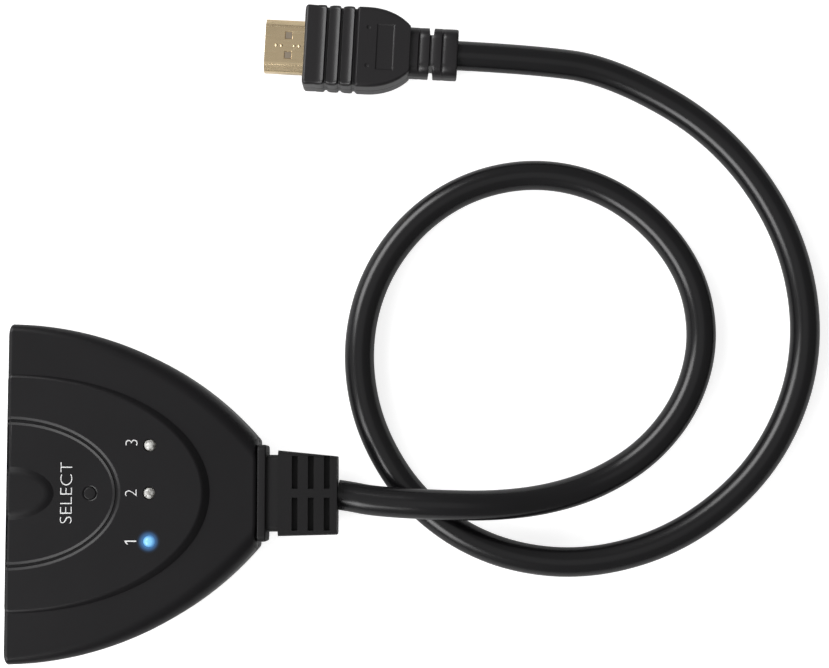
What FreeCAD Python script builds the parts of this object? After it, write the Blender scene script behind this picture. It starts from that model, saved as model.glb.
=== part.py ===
import FreeCAD, Part
import math
import os
import re
import Sketcher

# A three-way video input switch: a flat arched case with three sockets along its straight back,
# a select button and three indicator lamps on top, and a moulded lead that ends in a plug.
# Millimetres. Z is up, the lead leaves the case towards +X and the case is widest along Y.
# The origin is under the middle of the case, on the surface that it stands on.

doc = FreeCAD.newDocument("input_switch")
sheet = doc.addObject("Spreadsheet::Sheet", "Sizes")

SIZES = {
    # Case
    "case_width": 84.6,
    "case_length": 62.2,
    "tip_width": 26.93,
    "plateau_top": 18.9,
    "band_step_back": 0.4,
    "band_step_tip": 2,
    "seam_height": 9,
    "wall": 2,
    "floor_thickness": 1.8,
    "roof_thickness": 2.2,
    "band_roof_thickness": 3.4,
    "flank_round_back": 2,
    "flank_round_tip": 6.5,
    "rim_round": 0.9,
    "base_round": 1.2,
    "corner_round": 1.5,
    # Steps on top
    "plateau_reach": 48.8,
    "plateau_half_width": 28.7,
    "plateau_slope": 2.4,
    "dish_reach": 28,
    "dish_half_width": 18.6,
    "dish_depth": 0.8,
    "dish_slope": 0.6,
    "tab_reach": 10.9,
    "tab_half_width": 5.8,
    # Sockets
    "socket_margin": 17.8,
    "socket_width": 14.9,
    "socket_height": 5.4,
    "socket_bevel_width": 2,
    "socket_bevel_height": 1.8,
    "socket_depth": 11.6,
    "socket_sheet": 0.35,
    "socket_recess": 0.2,
    "socket_gap": 0.3,
    "insulator_depth": 3.2,
    "tongue_width": 11.4,
    "tongue_thickness": 1.3,
    "tongue_recess": 2.1,
    "contact_width": 0.45,
    "contact_thickness": 0.12,
    "contact_pitch": 1,
    # Main board and what stands on it
    "board_bottom": 4.7,
    "board_thickness": 1.6,
    "board_gap": 0.4,
    "board_end_gap": 0.3,
    "board_side_gap": 2.55,
    "board_straight": 28.1,
    "post_radius": 2,
    # Button and push switch
    "button_from_back": 20.8,
    "cap_radius": 1.52,
    "cap_gap": 0.08,
    "cap_rise": 0.15,
    "cap_dish": 0.55,
    "collar_radius": 3,
    "collar_thickness": 1.05,
    "collar_gap": 0.05,
    "guide_gap": 0.08,
    "guide_length": 2.7,
    "switch_side": 6,
    "switch_height": 2.9,
    "cover_thickness": 0.3,
    "plunger_radius": 1.7,
    "plunger_gap": 0.08,
    "plunger_top": 11.3,
    "dome_radius": 2.1,
    "dome_height": 1,
    "dome_sheet": 0.15,
    # Indicator lamps
    "lamp_from_back": 35.6,
    "lamp_pitch": 11.9,
    "lamp_radius": 1.5,
    "lamp_gap": 0.1,
    "lamp_rise": 0.5,
    "lamp_body": 3.8,
    # Chips and small parts on the board
    "switching_chip_length": 10,
    "switching_chip_width": 10,
    "switching_chip_height": 1.2,
    "switching_chip_pitch": 0.7,
    "switching_chip_from_rear": 9.8,
    "switching_chip_across": 16.5,
    "control_chip_length": 5,
    "control_chip_width": 4,
    "control_chip_height": 1.4,
    "control_chip_pitch": 1.27,
    "control_chip_from_rear": 15.3,
    "control_chip_across": -14,
    "regulator_length": 6.5,
    "regulator_width": 3.5,
    "regulator_height": 1.6,
    "regulator_pitch": 2.3,
    "regulator_from_rear": 7.3,
    "regulator_across": -22,
    "capacitor_length": 2,
    "capacitor_width": 1.25,
    "capacitor_height": 0.9,
    "resistor_length": 1.6,
    "resistor_width": 0.8,
    "resistor_height": 0.45,
    # Screws
    "screw_inset": 5.5,
    "tip_screw_inset": 13.1,
    "tip_screw_y": 14,
    "screw_thread_radius": 1.3,
    "screw_head_radius": 2.5,
    "screw_head_height": 1.7,
    "screw_length": 10,
    "screw_seat": 2.8,
    "boss_radius": 4,
    # Boot and lead
    "lead_drop": 6.9,
    "lead_diameter": 7.6,
    "flange_thickness": 2.2,
    "flange_width": 24.2,
    "flange_height": 13.4,
    "neck_length": 3,
    "neck_width": 19.2,
    "neck_height": 11.4,
    "boot_length": 14.7,
    "boot_width": 21.4,
    "boot_end_width": 19.6,
    "boot_height": 13.4,
    "boot_end_height": 12,
    "boot_round": 1.6,
    "boot_spine": 2.2,
    "boot_groove": 1.4,
    "boot_groove_end": 1.8,
    "boot_groove_pitch": 4,
    "boot_groove_depth": 2,
    "boot_groove_width": 8.2,
    "anchor_width": 15,
    "anchor_height": 9,
    "anchor_flange": 2,
    "lead_inner_reach": 9.1,
    "ring_length": 5,
    "ring_sheet": 0.5,
    "wire_radius": 0.45,
    "wire_pitch": 1.8,
    # Plug
    "plug_height": 5.7,
    "relief_width": 12.9,
    "relief_height": 9.4,
    "relief_tip": 5.4,
    "relief_slot": 1.2,
    "relief_web": 8.2,
    "relief_groove": 0.8,
    "relief_length": 12.3,
    "plug_body_width": 21,
    "plug_body_height": 11.4,
    "plug_body_start": 12,
    "plug_body_end": 39.8,
    "plug_taper_start": 23.5,
    "plug_taper": 13.6,
    "plug_rim_round": 1.4,
    "plug_groove": 0.9,
    "plug_groove_depth": 0.9,
    "plug_first_groove": 26.25,
    "plug_rib": 3.6,
    "plug_panel_start": 16.6,
    "plug_panel_length": 4.6,
    "plug_panel_width": 12.2,
    "plug_panel_depth": 0.35,
    "shell_width": 13.9,
    "shell_height": 4.45,
    "shell_bevel_width": 1.95,
    "shell_bevel_height": 1.6,
    "shell_sheet": 0.3,
    "shell_start": 33,
    "shell_end": 50,
    "window_side": 1.7,
    "window_offset": 2.6,
    "slot_width": 11.7,
    "slot_height": 1.7,
    "slot_depth": 7.5,
    "core_start": 22,
    "core_width": 13,
    "core_height": 7.4,
}

for row, (name, amount) in enumerate(SIZES.items(), 1):
    sheet.set(f"A{row}", name)
    sheet.set(f"B{row}", str(amount))
    sheet.setAlias(f"B{row}", name)
doc.recompute()

# Places and sizes that follow from the sheet's
FOLLOWING = {
    "flank_drop": "(case_width - tip_width) / 2",
    "flank_radius": "(case_length * case_length + flank_drop * flank_drop) / (2 * flank_drop)",
    "back": "-case_length / 2",
    "tip": "case_length / 2",
    "band_top_back": "plateau_top - band_step_back",
    "band_top_tip": "plateau_top - band_step_tip",
    "high_roof": "plateau_top - roof_thickness",
    "low_roof": "band_top_tip - band_roof_thickness",
    "dish_floor": "plateau_top - dish_depth",
    "socket_pitch": "case_width / 2 - socket_margin",
    "socket_front": "back + socket_recess",
    "socket_rear": "socket_front + socket_depth",
    "socket_middle": "board_top + socket_height / 2",
    "board_top": "board_bottom + board_thickness",
    "back_screw_x": "back + screw_inset",
    "back_screw_y": "case_width / 2 - screw_inset",
    "tip_screw_x": "tip - tip_screw_inset",
    "board_half_width": "back_screw_y - boss_radius - board_gap",
    "board_shoulder": "back + board_straight",
    "board_tip": "tip_screw_x - boss_radius - board_gap",
    "board_tip_radius": "flank_radius - wall",
    "board_tip_half": "case_width / 2 - flank_radius - board_side_gap + sqrt(board_tip_radius * board_tip_radius"
                      " - (board_tip - back) * (board_tip - back))",
    "button_x": "back + button_from_back",
    "lamp_x": "back + lamp_from_back",
    "lead_height": "band_top_tip - lead_drop",
    "boot_start": "tip + flange_thickness + neck_length",
    "boot_end": "boot_start + boot_length",
    "lead_inner_start": "tip - lead_inner_reach",
}

WORD = re.compile(r"[a-z_]+")


def bound(formula):
    """The formula with what follows written out and each name of a size pointed at the sheet."""
    def told(found):
        word = found.group(0)
        if word in FOLLOWING:
            return "(" + bound(FOLLOWING[word]) + ")"
        return "Sizes." + word if word in SIZES else word
    return WORD.sub(told, formula)


def number(formula):
    """The present value of a formula."""
    found = sheet.evalExpression(bound(formula))
    return float(getattr(found, "Value", found))


def bind(item, **formulas):
    """Tie properties of an item to formulas."""
    for field, formula in formulas.items():
        item.setExpression(field, bound(formula))


def place(item, x, y, z):
    """Tie an item's position to three formulas."""
    for axis, formula in (("x", x), ("y", y), ("z", z)):
        item.setExpression(f"Placement.Base.{axis}", bound(formula))


def block(name, length, width, height, x, y, bottom):
    """A block that starts at x, is centred on y and stands on bottom."""
    item = doc.addObject("Part::Box", name)
    bind(item, Length=length, Width=width, Height=height)
    place(item, x, f"({y}) - ({width}) / 2", bottom)
    return item


def rod(name, radius, length, x, y, z, along=False):
    """A cylinder that stands up from its position, or runs along X from it."""
    item = doc.addObject("Part::Cylinder", name)
    bind(item, Radius=radius, Height=length)
    if along:
        item.Placement.Rotation = FreeCAD.Rotation(FreeCAD.Vector(0, 1, 0), 90)
    place(item, x, y, z)
    return item


def joined(name, parts):
    item = doc.addObject("Part::MultiFuse", name)
    item.Shapes = parts
    item.Refine = False
    return item


def cut(name, base, tools):
    item = doc.addObject("Part::Cut", name)
    item.Base = base
    item.Tool = tools[0] if len(tools) == 1 else joined(name + "_tools", tools)
    item.Refine = False
    return item


def common(name, parts):
    item = doc.addObject("Part::Common", name)
    item.Base, item.Tool = parts
    item.Refine = False
    return item


def group(name, parts):
    """Alike small pieces that share one node."""
    item = doc.addObject("Part::Compound", name)
    item.Links = parts
    return item


def raised(name, sketch, height):
    """A solid raised from a closed sketch along its normal."""
    item = doc.addObject("Part::Extrusion", name)
    item.Base = sketch
    item.DirMode = "Normal"
    item.Solid = True
    bind(item, LengthFwd=height)
    return item


def rounded(name, base, chosen, first, last=None):
    """Round the edges that the test chooses, from one radius to another along them."""
    doc.recompute()
    item = doc.addObject("Part::Fillet", name)
    item.Base = base
    edges = []
    for index, edge in enumerate(base.Shape.Edges, 1):
        if chosen(edge):
            start, end = number(first), number(last or first)
            if last and edge.Vertexes[0].X > edge.Vertexes[-1].X:
                start, end = end, start
            edges.append((index, start, end))
    item.Edges = edges
    return item


def at_height(edge, height):
    """Whether an edge lies flat at a height."""
    box = edge.BoundBox
    return abs(box.ZMin - height) < 0.02 and abs(box.ZMax - height) < 0.02


def upright(edge):
    """Whether an edge is a straight vertical one."""
    box = edge.BoundBox
    return box.XLength < 0.01 and box.YLength < 0.01 and box.ZLength > 1


def corner_sketch(name, corners, body=None, plane="XY_Plane"):
    """A closed sketch of straight sides. Each corner is a pair of formulas, none of them zero."""
    sketch = body.newObject("Sketcher::SketchObject", name) if body else doc.addObject("Sketcher::SketchObject", name)
    if body:
        sketch.AttachmentSupport = [(role_plane(body, plane), "")]
        sketch.MapMode = "FlatFace"
    points = [FreeCAD.Vector(number(across), number(up), 0) for across, up in corners]
    count = len(points)
    for index in range(count):
        sketch.addGeometry(Part.LineSegment(points[index], points[(index + 1) % count]), False)
    for index in range(count):
        sketch.addConstraint(Sketcher.Constraint("Coincident", index, 2, (index + 1) % count, 1))
    for index, (across, up) in enumerate(corners):
        for kind, formula, amount in (("DistanceX", across, points[index].x), ("DistanceY", up, points[index].y)):
            at = sketch.addConstraint(Sketcher.Constraint(kind, -1, 1, index, 1, amount))
            sketch.renameConstraint(at, f"{kind}{index}")
            sketch.setExpression(f"Constraints.{kind}{index}", bound(formula))
    return sketch


def role_plane(body, role):
    for feature in body.Origin.OriginFeatures:
        if feature.Role == role:
            return feature


def outline_sketch(name, inset, lift, body=None):
    """The case's outline: a straight back, two arched flanks and a short straight tip, moved in by inset."""
    sketch = body.newObject("Sketcher::SketchObject", name) if body else doc.addObject("Sketcher::SketchObject", name)
    if body:
        sketch.AttachmentSupport = [(role_plane(body, "XY_Plane"), "")]
        sketch.MapMode = "FlatFace"
        sketch.setExpression("AttachmentOffset.Base.z", bound(lift))
    else:
        sketch.setExpression("Placement.Base.z", bound(lift))
    back = number(f"back + {inset}")
    tip = number(f"tip - {inset}")
    radius = number(f"flank_radius - {inset}")
    centre_x = number("back")
    centre_y = number("case_width / 2 - flank_radius")
    back_half = centre_y + math.sqrt(radius ** 2 - (back - centre_x) ** 2)
    tip_half = centre_y + math.sqrt(radius ** 2 - (tip - centre_x) ** 2)
    vector = FreeCAD.Vector
    up = vector(0, 0, 1)
    start = math.atan2(tip_half - centre_y, tip - centre_x)
    stop = math.atan2(back_half - centre_y, back - centre_x)
    sketch.addGeometry(Part.LineSegment(vector(back, back_half, 0), vector(back, -back_half, 0)), False)
    sketch.addGeometry(Part.ArcOfCircle(Part.Circle(vector(centre_x, -centre_y, 0), up, radius), -stop, -start), False)
    sketch.addGeometry(Part.LineSegment(vector(tip, -tip_half, 0), vector(tip, tip_half, 0)), False)
    sketch.addGeometry(Part.ArcOfCircle(Part.Circle(vector(centre_x, centre_y, 0), up, radius), start, stop), False)
    rule = Sketcher.Constraint
    for first, first_end, second, second_end in ((0, 2, 1, 1), (1, 2, 2, 1), (2, 2, 3, 1), (3, 2, 0, 1)):
        sketch.addConstraint(rule("Coincident", first, first_end, second, second_end))
    sketch.addConstraint(rule("Vertical", 0))
    sketch.addConstraint(rule("Vertical", 2))
    measures = (("back", rule("DistanceX", -1, 1, 0, 1, back), f"back + {inset}"),
                ("tip", rule("DistanceX", -1, 1, 2, 1, tip), f"tip - {inset}"),
                ("upper_radius", rule("Radius", 3, radius), f"flank_radius - {inset}"),
                ("lower_radius", rule("Radius", 1, radius), f"flank_radius - {inset}"),
                ("upper_x", rule("DistanceX", -1, 1, 3, 3, centre_x), "back"),
                ("lower_x", rule("DistanceX", -1, 1, 1, 3, centre_x), "back"),
                ("upper_y", rule("DistanceY", -1, 1, 3, 3, centre_y), "case_width / 2 - flank_radius"),
                ("lower_y", rule("DistanceY", -1, 1, 1, 3, -centre_y), "flank_radius - case_width / 2"))
    for label, constraint, formula in measures:
        sketch.renameConstraint(sketch.addConstraint(constraint), label)
        sketch.setExpression(f"Constraints.{label}", bound(formula))
    return sketch


def half_width_at(x, inset="0"):
    """The formula of the outline's half width at a place along the case."""
    radius = f"(flank_radius - ({inset}))"
    along = f"(({x}) - back)"
    return f"(case_width / 2 - flank_radius + sqrt({radius} * {radius} - {along} * {along}))"


def padded_outline(name, height, lift):
    """A solid of the case's outline, made as a body with one pad."""
    body = doc.addObject("PartDesign::Body", name)
    sketch = outline_sketch(name + "_outline", "0", lift, body)
    pad = body.newObject("PartDesign::Pad", name + "_pad")
    pad.Profile = sketch
    bind(pad, Length=height)
    return body


def arch(name, reach, half_width, bottom, top, spread="0"):
    """An elliptical solid centred on the case's back. Its walls lean by spread from bottom to top."""
    wires = []
    for height, extra in ((bottom, "0"), (top, spread)):
        centre = FreeCAD.Vector(number("back"), 0, number(height))
        along, across = number(f"{reach} + {extra}"), number(f"{half_width} + {extra}")
        curve = Part.Ellipse(centre, max(along, across), min(along, across))
        if across > along:
            curve = Part.Ellipse(centre + FreeCAD.Vector(0, across, 0), centre + FreeCAD.Vector(along, 0, 0), centre)
        wires.append(Part.Wire([curve.toShape()]))
    item = doc.addObject("Part::Feature", name)
    item.Shape = Part.makeLoft(wires, True, True)
    return item


def screw_places():
    for label, x, y in (("back", "back_screw_x", "back_screw_y"), ("tip", "tip_screw_x", "tip_screw_y")):
        for side, sign in (("far", ""), ("near", "-")):
            yield f"{label}_{side}", x, sign + y


SOCKETS = ((1, "-socket_pitch"), (2, "0 * socket_pitch"), (3, "socket_pitch"))


def socket_openings(label):
    """The three openings in the back wall, a little larger than the sockets."""
    return [block(f"{label}_opening_{index}", "wall + 2", "socket_width + 2 * socket_gap",
                  "socket_height + 2 * socket_gap", "back - 1", y, "board_top - socket_gap")
            for index, y in SOCKETS]


def neck_opening(label):
    """The opening in the tip wall that the boot's neck fills."""
    return block(f"{label}_neck_opening", "wall + 2", "anchor_width", "anchor_height", "tip - wall - 1",
                 "0", "lead_height - anchor_height / 2")


def bottom_shell():
    """The lower half of the case: floor, walls up to the seam, screw bosses and posts for the board."""
    form = padded_outline("bottom_form", "seam_height", "0")
    corners = rounded("bottom_corners", form, upright, "corner_round")
    outside = rounded("bottom_outside", corners, lambda edge: at_height(edge, 0), "base_round")
    hollow = raised("bottom_hollow", outline_sketch("bottom_inside", "wall", "floor_thickness"), "seam_height")
    tray = cut("tray", outside, [hollow])
    additions = [tray]
    bores = []
    for label, x, y in screw_places():
        additions.append(rod(f"lower_boss_{label}", "boss_radius", "seam_height - 0.2", x, y, "0.2"))
        bores.append(rod(f"head_bore_{label}", "screw_head_radius + 0.3", "screw_seat + 1", x, y, "-1"))
        bores.append(rod(f"shank_bore_{label}", "screw_thread_radius + 0.3", "seam_height + 2", x, y, "-1"))
    for label, x, y in (("back", "board_shoulder - 12", "(board_half_width - post_radius - 1)"),
                        ("tip", "board_tip - 3.6", "(board_tip_half - post_radius - 1.5)")):
        for side in (1, -1):
            additions.append(rod(f"post_{label}_{side + 2}", "post_radius", "board_bottom - floor_thickness + 0.5", x,
                                 f"{side} * {y}", "floor_thickness - 0.5"))
    solid = joined("tray_with_bosses", additions)
    return cut("bottom_shell", solid, bores + socket_openings("lower") + [neck_opening("lower")])


def shoulder_section(x, half, seam, top, shoulder):
    """A cross section of the upper half: a level foot, upright sides, round shoulders and a level top."""
    lean = shoulder * math.sqrt(0.5)
    low = top - shoulder
    corners = [FreeCAD.Vector(x, y, z) for y, z in ((-half, seam), (half, seam), (half, low), (half - shoulder, top),
                                                    (shoulder - half, top), (-half, low))]
    bends = [FreeCAD.Vector(x, side * (half - shoulder + lean), low + lean) for side in (1, -1)]
    edges = [Part.LineSegment(corners[0], corners[1]), Part.LineSegment(corners[1], corners[2]),
             Part.Arc(corners[2], bends[0], corners[3]), Part.LineSegment(corners[3], corners[4]),
             Part.Arc(corners[4], bends[1], corners[5]), Part.LineSegment(corners[5], corners[0])]
    return Part.Wire([edge.toShape() for edge in edges])


def top_form():
    """The outside of the upper half: shoulders that grow rounder and a top that falls towards the tip."""
    sections = []
    count = 9
    seam = number("seam_height")
    shoulder_back = number("flank_round_back")
    shoulder_tip = min(number("flank_round_tip"), number("band_top_tip - rim_round - 0.3") - seam)
    for step in range(count):
        share = step / (count - 1)
        x = number("back") + share * number("case_length")
        top = number("band_top_back") + share * number("band_top_tip - band_top_back")
        shoulder = shoulder_back + share * (shoulder_tip - shoulder_back)
        sections.append(shoulder_section(x, number(half_width_at(f"{x:.6f}")), seam, top, shoulder))
    band = doc.addObject("Part::Feature", "band")
    band.Shape = Part.makeLoft(sections, True, False)
    corners = rounded("top_corners", band, lambda edge: upright(edge) and edge.BoundBox.XMin < 0, "corner_round")
    tip = number("tip")

    def end_rim(edge):
        box = edge.BoundBox
        at_end = min(abs(box.XMin + tip) + abs(box.XMax + tip), abs(box.XMin - tip) + abs(box.XMax - tip)) < 0.1
        above_seam = box.ZMax > seam + 0.3
        return at_end and above_seam and not (upright(edge) and box.XMin < 0)

    return rounded("band_ends", corners, end_rim, "rim_round")


def top_shell():
    """The upper half of the case with its steps, lamp holes, button hole, button guide and screw bosses."""
    band = top_form()
    plateau = arch("plateau_block", "plateau_reach + plateau_slope", "plateau_half_width + plateau_slope",
                   "band_top_tip - 0.4", "plateau_top", "(-plateau_slope)")
    plateau_limit = block("plateau_limit", "case_length", "case_width", "plateau_top * 2", "back + rim_round + 0.1",
                          "0", "0")
    plateau = common("plateau", [plateau, plateau_limit])
    dish = arch("dish_block", "dish_reach - dish_slope", "dish_half_width - dish_slope", "dish_floor",
                "dish_floor + 2 * dish_slope", "2 * dish_slope")
    tab = arch("tab_block", "tab_reach + 0.3", "tab_half_width + 0.3", "dish_floor - 0.3", "plateau_top + 1",
               "(-0.6)")
    dish_without_tab = cut("dish_ring", dish, [tab])
    low_hollow = raised("low_hollow", outline_sketch("top_inside", "wall", "seam_height - 1"),
                        "low_roof - seam_height + 1")
    high_hollow = arch("high_hollow_block", "plateau_reach - 4", "plateau_half_width - 3", "low_roof - 1",
                       "high_roof")
    inside_limit = block("inside_limit", "case_length", "case_width", "plateau_top * 2", "back + wall", "0", "0")
    high_hollow = common("high_hollow", [high_hollow, inside_limit])
    channel_start = "(lead_inner_start - 8)"
    channel = block("lead_channel", f"tip - wall - {channel_start}", "anchor_width + 4.4", "8", channel_start, "0",
                    "lead_height + anchor_height / 2 + 1.1 - 8")
    solid = cut("lid", joined("lid_outside", [band, plateau]), [dish_without_tab, low_hollow, high_hollow, channel])
    additions = [solid]
    holes = []
    for label, x, y in screw_places():
        additions.append(rod(f"upper_boss_{label}", "screw_head_radius + 0.5", "low_roof - seam_height + 0.5", x, y,
                             "seam_height"))
        holes.append(rod(f"thread_bore_{label}", "screw_thread_radius", "screw_seat + screw_length + 1.6 - seam_height",
                         x, y, "seam_height - 1"))
    additions.append(rod("button_guide", "collar_radius + guide_gap + 1", "guide_length + 0.2", "button_x", "0",
                         "high_roof - guide_length"))
    holes.append(rod("guide_bore", "collar_radius + guide_gap", "guide_length + 1", "button_x", "0",
                     "high_roof - guide_length - 1"))
    holes.append(rod("button_hole", "cap_radius + cap_gap", "6", "button_x", "0", "high_roof - 0.1"))
    flare = doc.addObject("Part::Cone", "button_flare")
    bind(flare, Radius1="cap_radius + cap_gap", Radius2="cap_radius + cap_gap + cap_dish + 0.5",
         Height="cap_dish + 0.5")
    place(flare, "button_x", "0", "dish_floor - cap_dish")
    holes.append(flare)
    for index in (-1, 0, 1):
        holes.append(rod(f"lamp_hole_{index + 2}", "lamp_radius + lamp_gap", "6", "lamp_x", f"{index} * lamp_pitch",
                         "high_roof - 0.1"))
    whole = joined("lid_with_bosses", additions)
    return cut("top_shell", whole, holes + socket_openings("upper") + [neck_opening("upper")])


def button():
    """The moulded button: a small cap, a collar that stops under the roof and a stem down to the switch."""
    collar_top = "high_roof - collar_gap"
    cap_top = "dish_floor + cap_rise"
    collar = rod("button_collar", "collar_radius", "collar_thickness", "button_x", "0",
                 f"{collar_top} - collar_thickness")
    cap = rod("button_cap", "cap_radius", f"{cap_top} - ({collar_top})", "button_x", "0", collar_top)
    cap = rounded("button_cap_top", cap, lambda edge: at_height(edge, number(cap_top)), "0.3")
    stem = rod("button_stem", "cap_radius", f"{collar_top} - collar_thickness - plunger_top", "button_x", "0",
               "plunger_top")
    return joined("select_button", [collar, cap, stem])


def push_switch():
    """The square push switch on the board: housing, cover plate, plunger, snap dome and four terminals."""
    floor = "board_top + 0.6"
    top = "board_top + switch_height"
    case = block("switch_block", "switch_side", "switch_side", "switch_height", "button_x - switch_side / 2", "0",
                 "board_top")
    well = rod("switch_well", "dome_radius + 0.2", "switch_height", "button_x", "0", floor)
    housing = cut("switch_housing", case, [well])
    plate = block("cover_block", "switch_side", "switch_side", "cover_thickness", "button_x - switch_side / 2", "0",
                  top)
    hole = rod("cover_hole", "plunger_radius + plunger_gap", "2", "button_x", "0", f"{top} - 1")
    cover = cut("switch_cover", plate, [hole])
    foot = rod("plunger_foot", "dome_radius", "1.2", "button_x", "0", f"{top} - 1.28")
    shaft = rod("plunger_shaft", "plunger_radius", f"plunger_top - ({top}) + 0.3", "button_x", "0", f"{top} - 0.3")
    plunger = joined("switch_plunger", [foot, shaft])
    ball = "(dome_radius * dome_radius + dome_height * dome_height) / (2 * dome_height)"
    outer = doc.addObject("Part::Sphere", "dome_outer")
    bind(outer, Radius=ball)
    place(outer, "button_x", "0", f"{floor} + dome_height - {ball}")
    inner = doc.addObject("Part::Sphere", "dome_inner")
    bind(inner, Radius=ball)
    place(inner, "button_x", "0", f"{floor} + dome_height - dome_sheet - {ball}")
    slab = rod("dome_slab", "dome_radius", "dome_height", "button_x", "0", floor)
    dome = cut("switch_dome", common("dome_cap", [outer, slab]), [inner])
    legs = [block(f"switch_leg_{index}", "0.7", "1.4", "0.3", f"button_x + {x} - 0.35",
                  f"{side} * (switch_side / 2 + 0.7)", "board_top")
            for index, (x, side) in enumerate(((-2.2, -1), (2.2, -1), (-2.2, 1), (2.2, 1)))]
    return [housing, cover, plunger, dome, group("switch_terminals", legs)]


def board():
    """The glass fibre board, which tapers with the case towards the tip."""
    body = doc.addObject("PartDesign::Body", "main_board")
    rear = "back + wall + board_end_gap"
    corners = [(rear, "-board_half_width"), ("board_shoulder", "-board_half_width"),
               ("board_tip", "-board_tip_half"), ("board_tip", "board_tip_half"),
               ("board_shoulder", "board_half_width"), (rear, "board_half_width")]
    sketch = corner_sketch("board_outline", corners, body)
    sketch.setExpression("AttachmentOffset.Base.z", bound("board_bottom"))
    pad = body.newObject("PartDesign::Pad", "board_pad")
    pad.Profile = sketch
    bind(pad, Length="board_thickness")
    return body


def dee(name, width, height, bevel_width, bevel_height, narrow_up):
    """The sockets' and the plug's profile, in the YZ plane: two corners bevelled on the narrow side."""
    up = "" if narrow_up else "-"
    down = "-" if narrow_up else ""
    corners = [(f"-({width}) / 2", f"{down}({height}) / 2"), (f"({width}) / 2", f"{down}({height}) / 2"),
               (f"({width}) / 2", f"{up}(({height}) / 2 - ({bevel_height}))"),
               (f"({width}) / 2 - ({bevel_width})", f"{up}({height}) / 2"),
               (f"-(({width}) / 2 - ({bevel_width}))", f"{up}({height}) / 2"),
               (f"-({width}) / 2", f"{up}(({height}) / 2 - ({bevel_height}))")]
    sketch = corner_sketch(name, corners)
    sketch.Placement.Rotation = FreeCAD.Rotation(FreeCAD.Vector(1, 1, 1), 120)
    return sketch


def dee_solid(name, start, length, inset, y, z, kind, narrow_up):
    """A straight bar of that profile along X, moved in by inset all round."""
    sketch = dee(name + "_profile", f"{kind}_width - 2 * {inset}", f"{kind}_height - 2 * {inset}",
                 f"{kind}_bevel_width - {inset} * 0.4", f"{kind}_bevel_height - {inset} * 0.4", narrow_up)
    place(sketch, start, y, z)
    return raised(name, sketch, length)


def socket(index, y):
    """One input socket: sheet metal shell, insulator with its tongue, and nineteen contacts."""
    outer = dee_solid(f"socket_outer_{index}", "socket_front", "socket_depth", "0", y, "socket_middle",
                      "socket", False)
    inner = dee_solid(f"socket_inner_{index}", "socket_front - 1", "socket_depth + 2", "socket_sheet", y,
                      "socket_middle", "socket", False)
    shell = cut(f"input_{index}_shell", outer, [inner])
    base = dee_solid(f"socket_base_{index}", "socket_rear - insulator_depth", "insulator_depth", "socket_sheet", y,
                     "socket_middle", "socket", False)
    tongue = block(f"socket_tongue_{index}", "socket_depth - insulator_depth - tongue_recess + 0.2", "tongue_width",
                   "tongue_thickness", "socket_front + tongue_recess", y, "socket_middle - tongue_thickness / 2")
    insulator = joined(f"input_{index}_insulator", [base, tongue])
    contacts = []
    length = "socket_depth - insulator_depth - tongue_recess - 0.6"
    for row, count, height in (("upper", 10, "socket_middle + tongue_thickness / 2"),
                               ("lower", 9, "socket_middle - tongue_thickness / 2 - contact_thickness")):
        for step in range(count):
            offset = step - (count - 1) / 2
            contacts.append(block(f"contact_{index}_{row}_{step}", length, "contact_width", "contact_thickness",
                                  "socket_front + tongue_recess + 0.6", f"{y} + {offset} * contact_pitch", height))
    for step in range(19):
        contacts.append(block(f"tail_{index}_{step}", "1.3", "0.26", "0.2", "socket_rear",
                              f"{y} + {step - 9} * contact_pitch / 2", "board_top"))
    return [shell, insulator, group(f"input_{index}_contacts", contacts)]


def lamp(index, y):
    """One indicator lamp of clear resin with a domed top."""
    dome_centre = "plateau_top + lamp_rise - lamp_radius"
    body = rod(f"lamp_body_{index}", "lamp_radius", "lamp_body", "lamp_x", y, f"{dome_centre} - lamp_body")
    base = rod(f"lamp_base_{index}", "lamp_radius + 0.4", "0.8", "lamp_x", y, f"{dome_centre} - lamp_body")
    dome = doc.addObject("Part::Sphere", f"lamp_dome_{index}")
    bind(dome, Radius="lamp_radius")
    place(dome, "lamp_x", y, dome_centre)
    return joined(f"indicator_{index}", [body, base, dome])


def lamp_legs():
    """Two square wire legs under each lamp, down to the board."""
    legs = []
    for index in (-1, 0, 1):
        for side in (-1, 1):
            legs.append(block(f"lamp_leg_{index + 2}_{side + 2}", "0.5", "0.5",
                              "plateau_top + lamp_rise - lamp_radius - lamp_body - board_top", "lamp_x - 0.25",
                              f"{index} * lamp_pitch + {side} * 1.27", "board_top"))
    return group("indicator_legs", legs)


def chip(name, pins):
    """A chip on the board, behind the sockets, and its pins along both long sides."""
    x = f"(socket_rear + {name}_from_rear)"
    y = f"{name}_across"
    body = block(name, f"{name}_length", f"{name}_width", f"{name}_height", f"{x} - {name}_length / 2", y,
                 "board_top + 0.1")
    legs = []
    for side in (-1, 1):
        for step in range(pins):
            legs.append(block(f"{name}_pin_{side + 2}_{step}", f"0.45 * {name}_pitch", "1", "0.2",
                              f"{x} + ({step - (pins - 1) / 2} - 0.225) * {name}_pitch",
                              f"{y} + {side} * ({name}_width / 2 + 0.5)", "board_top"))
    return [body, group(name + "_pins", legs)]


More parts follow.
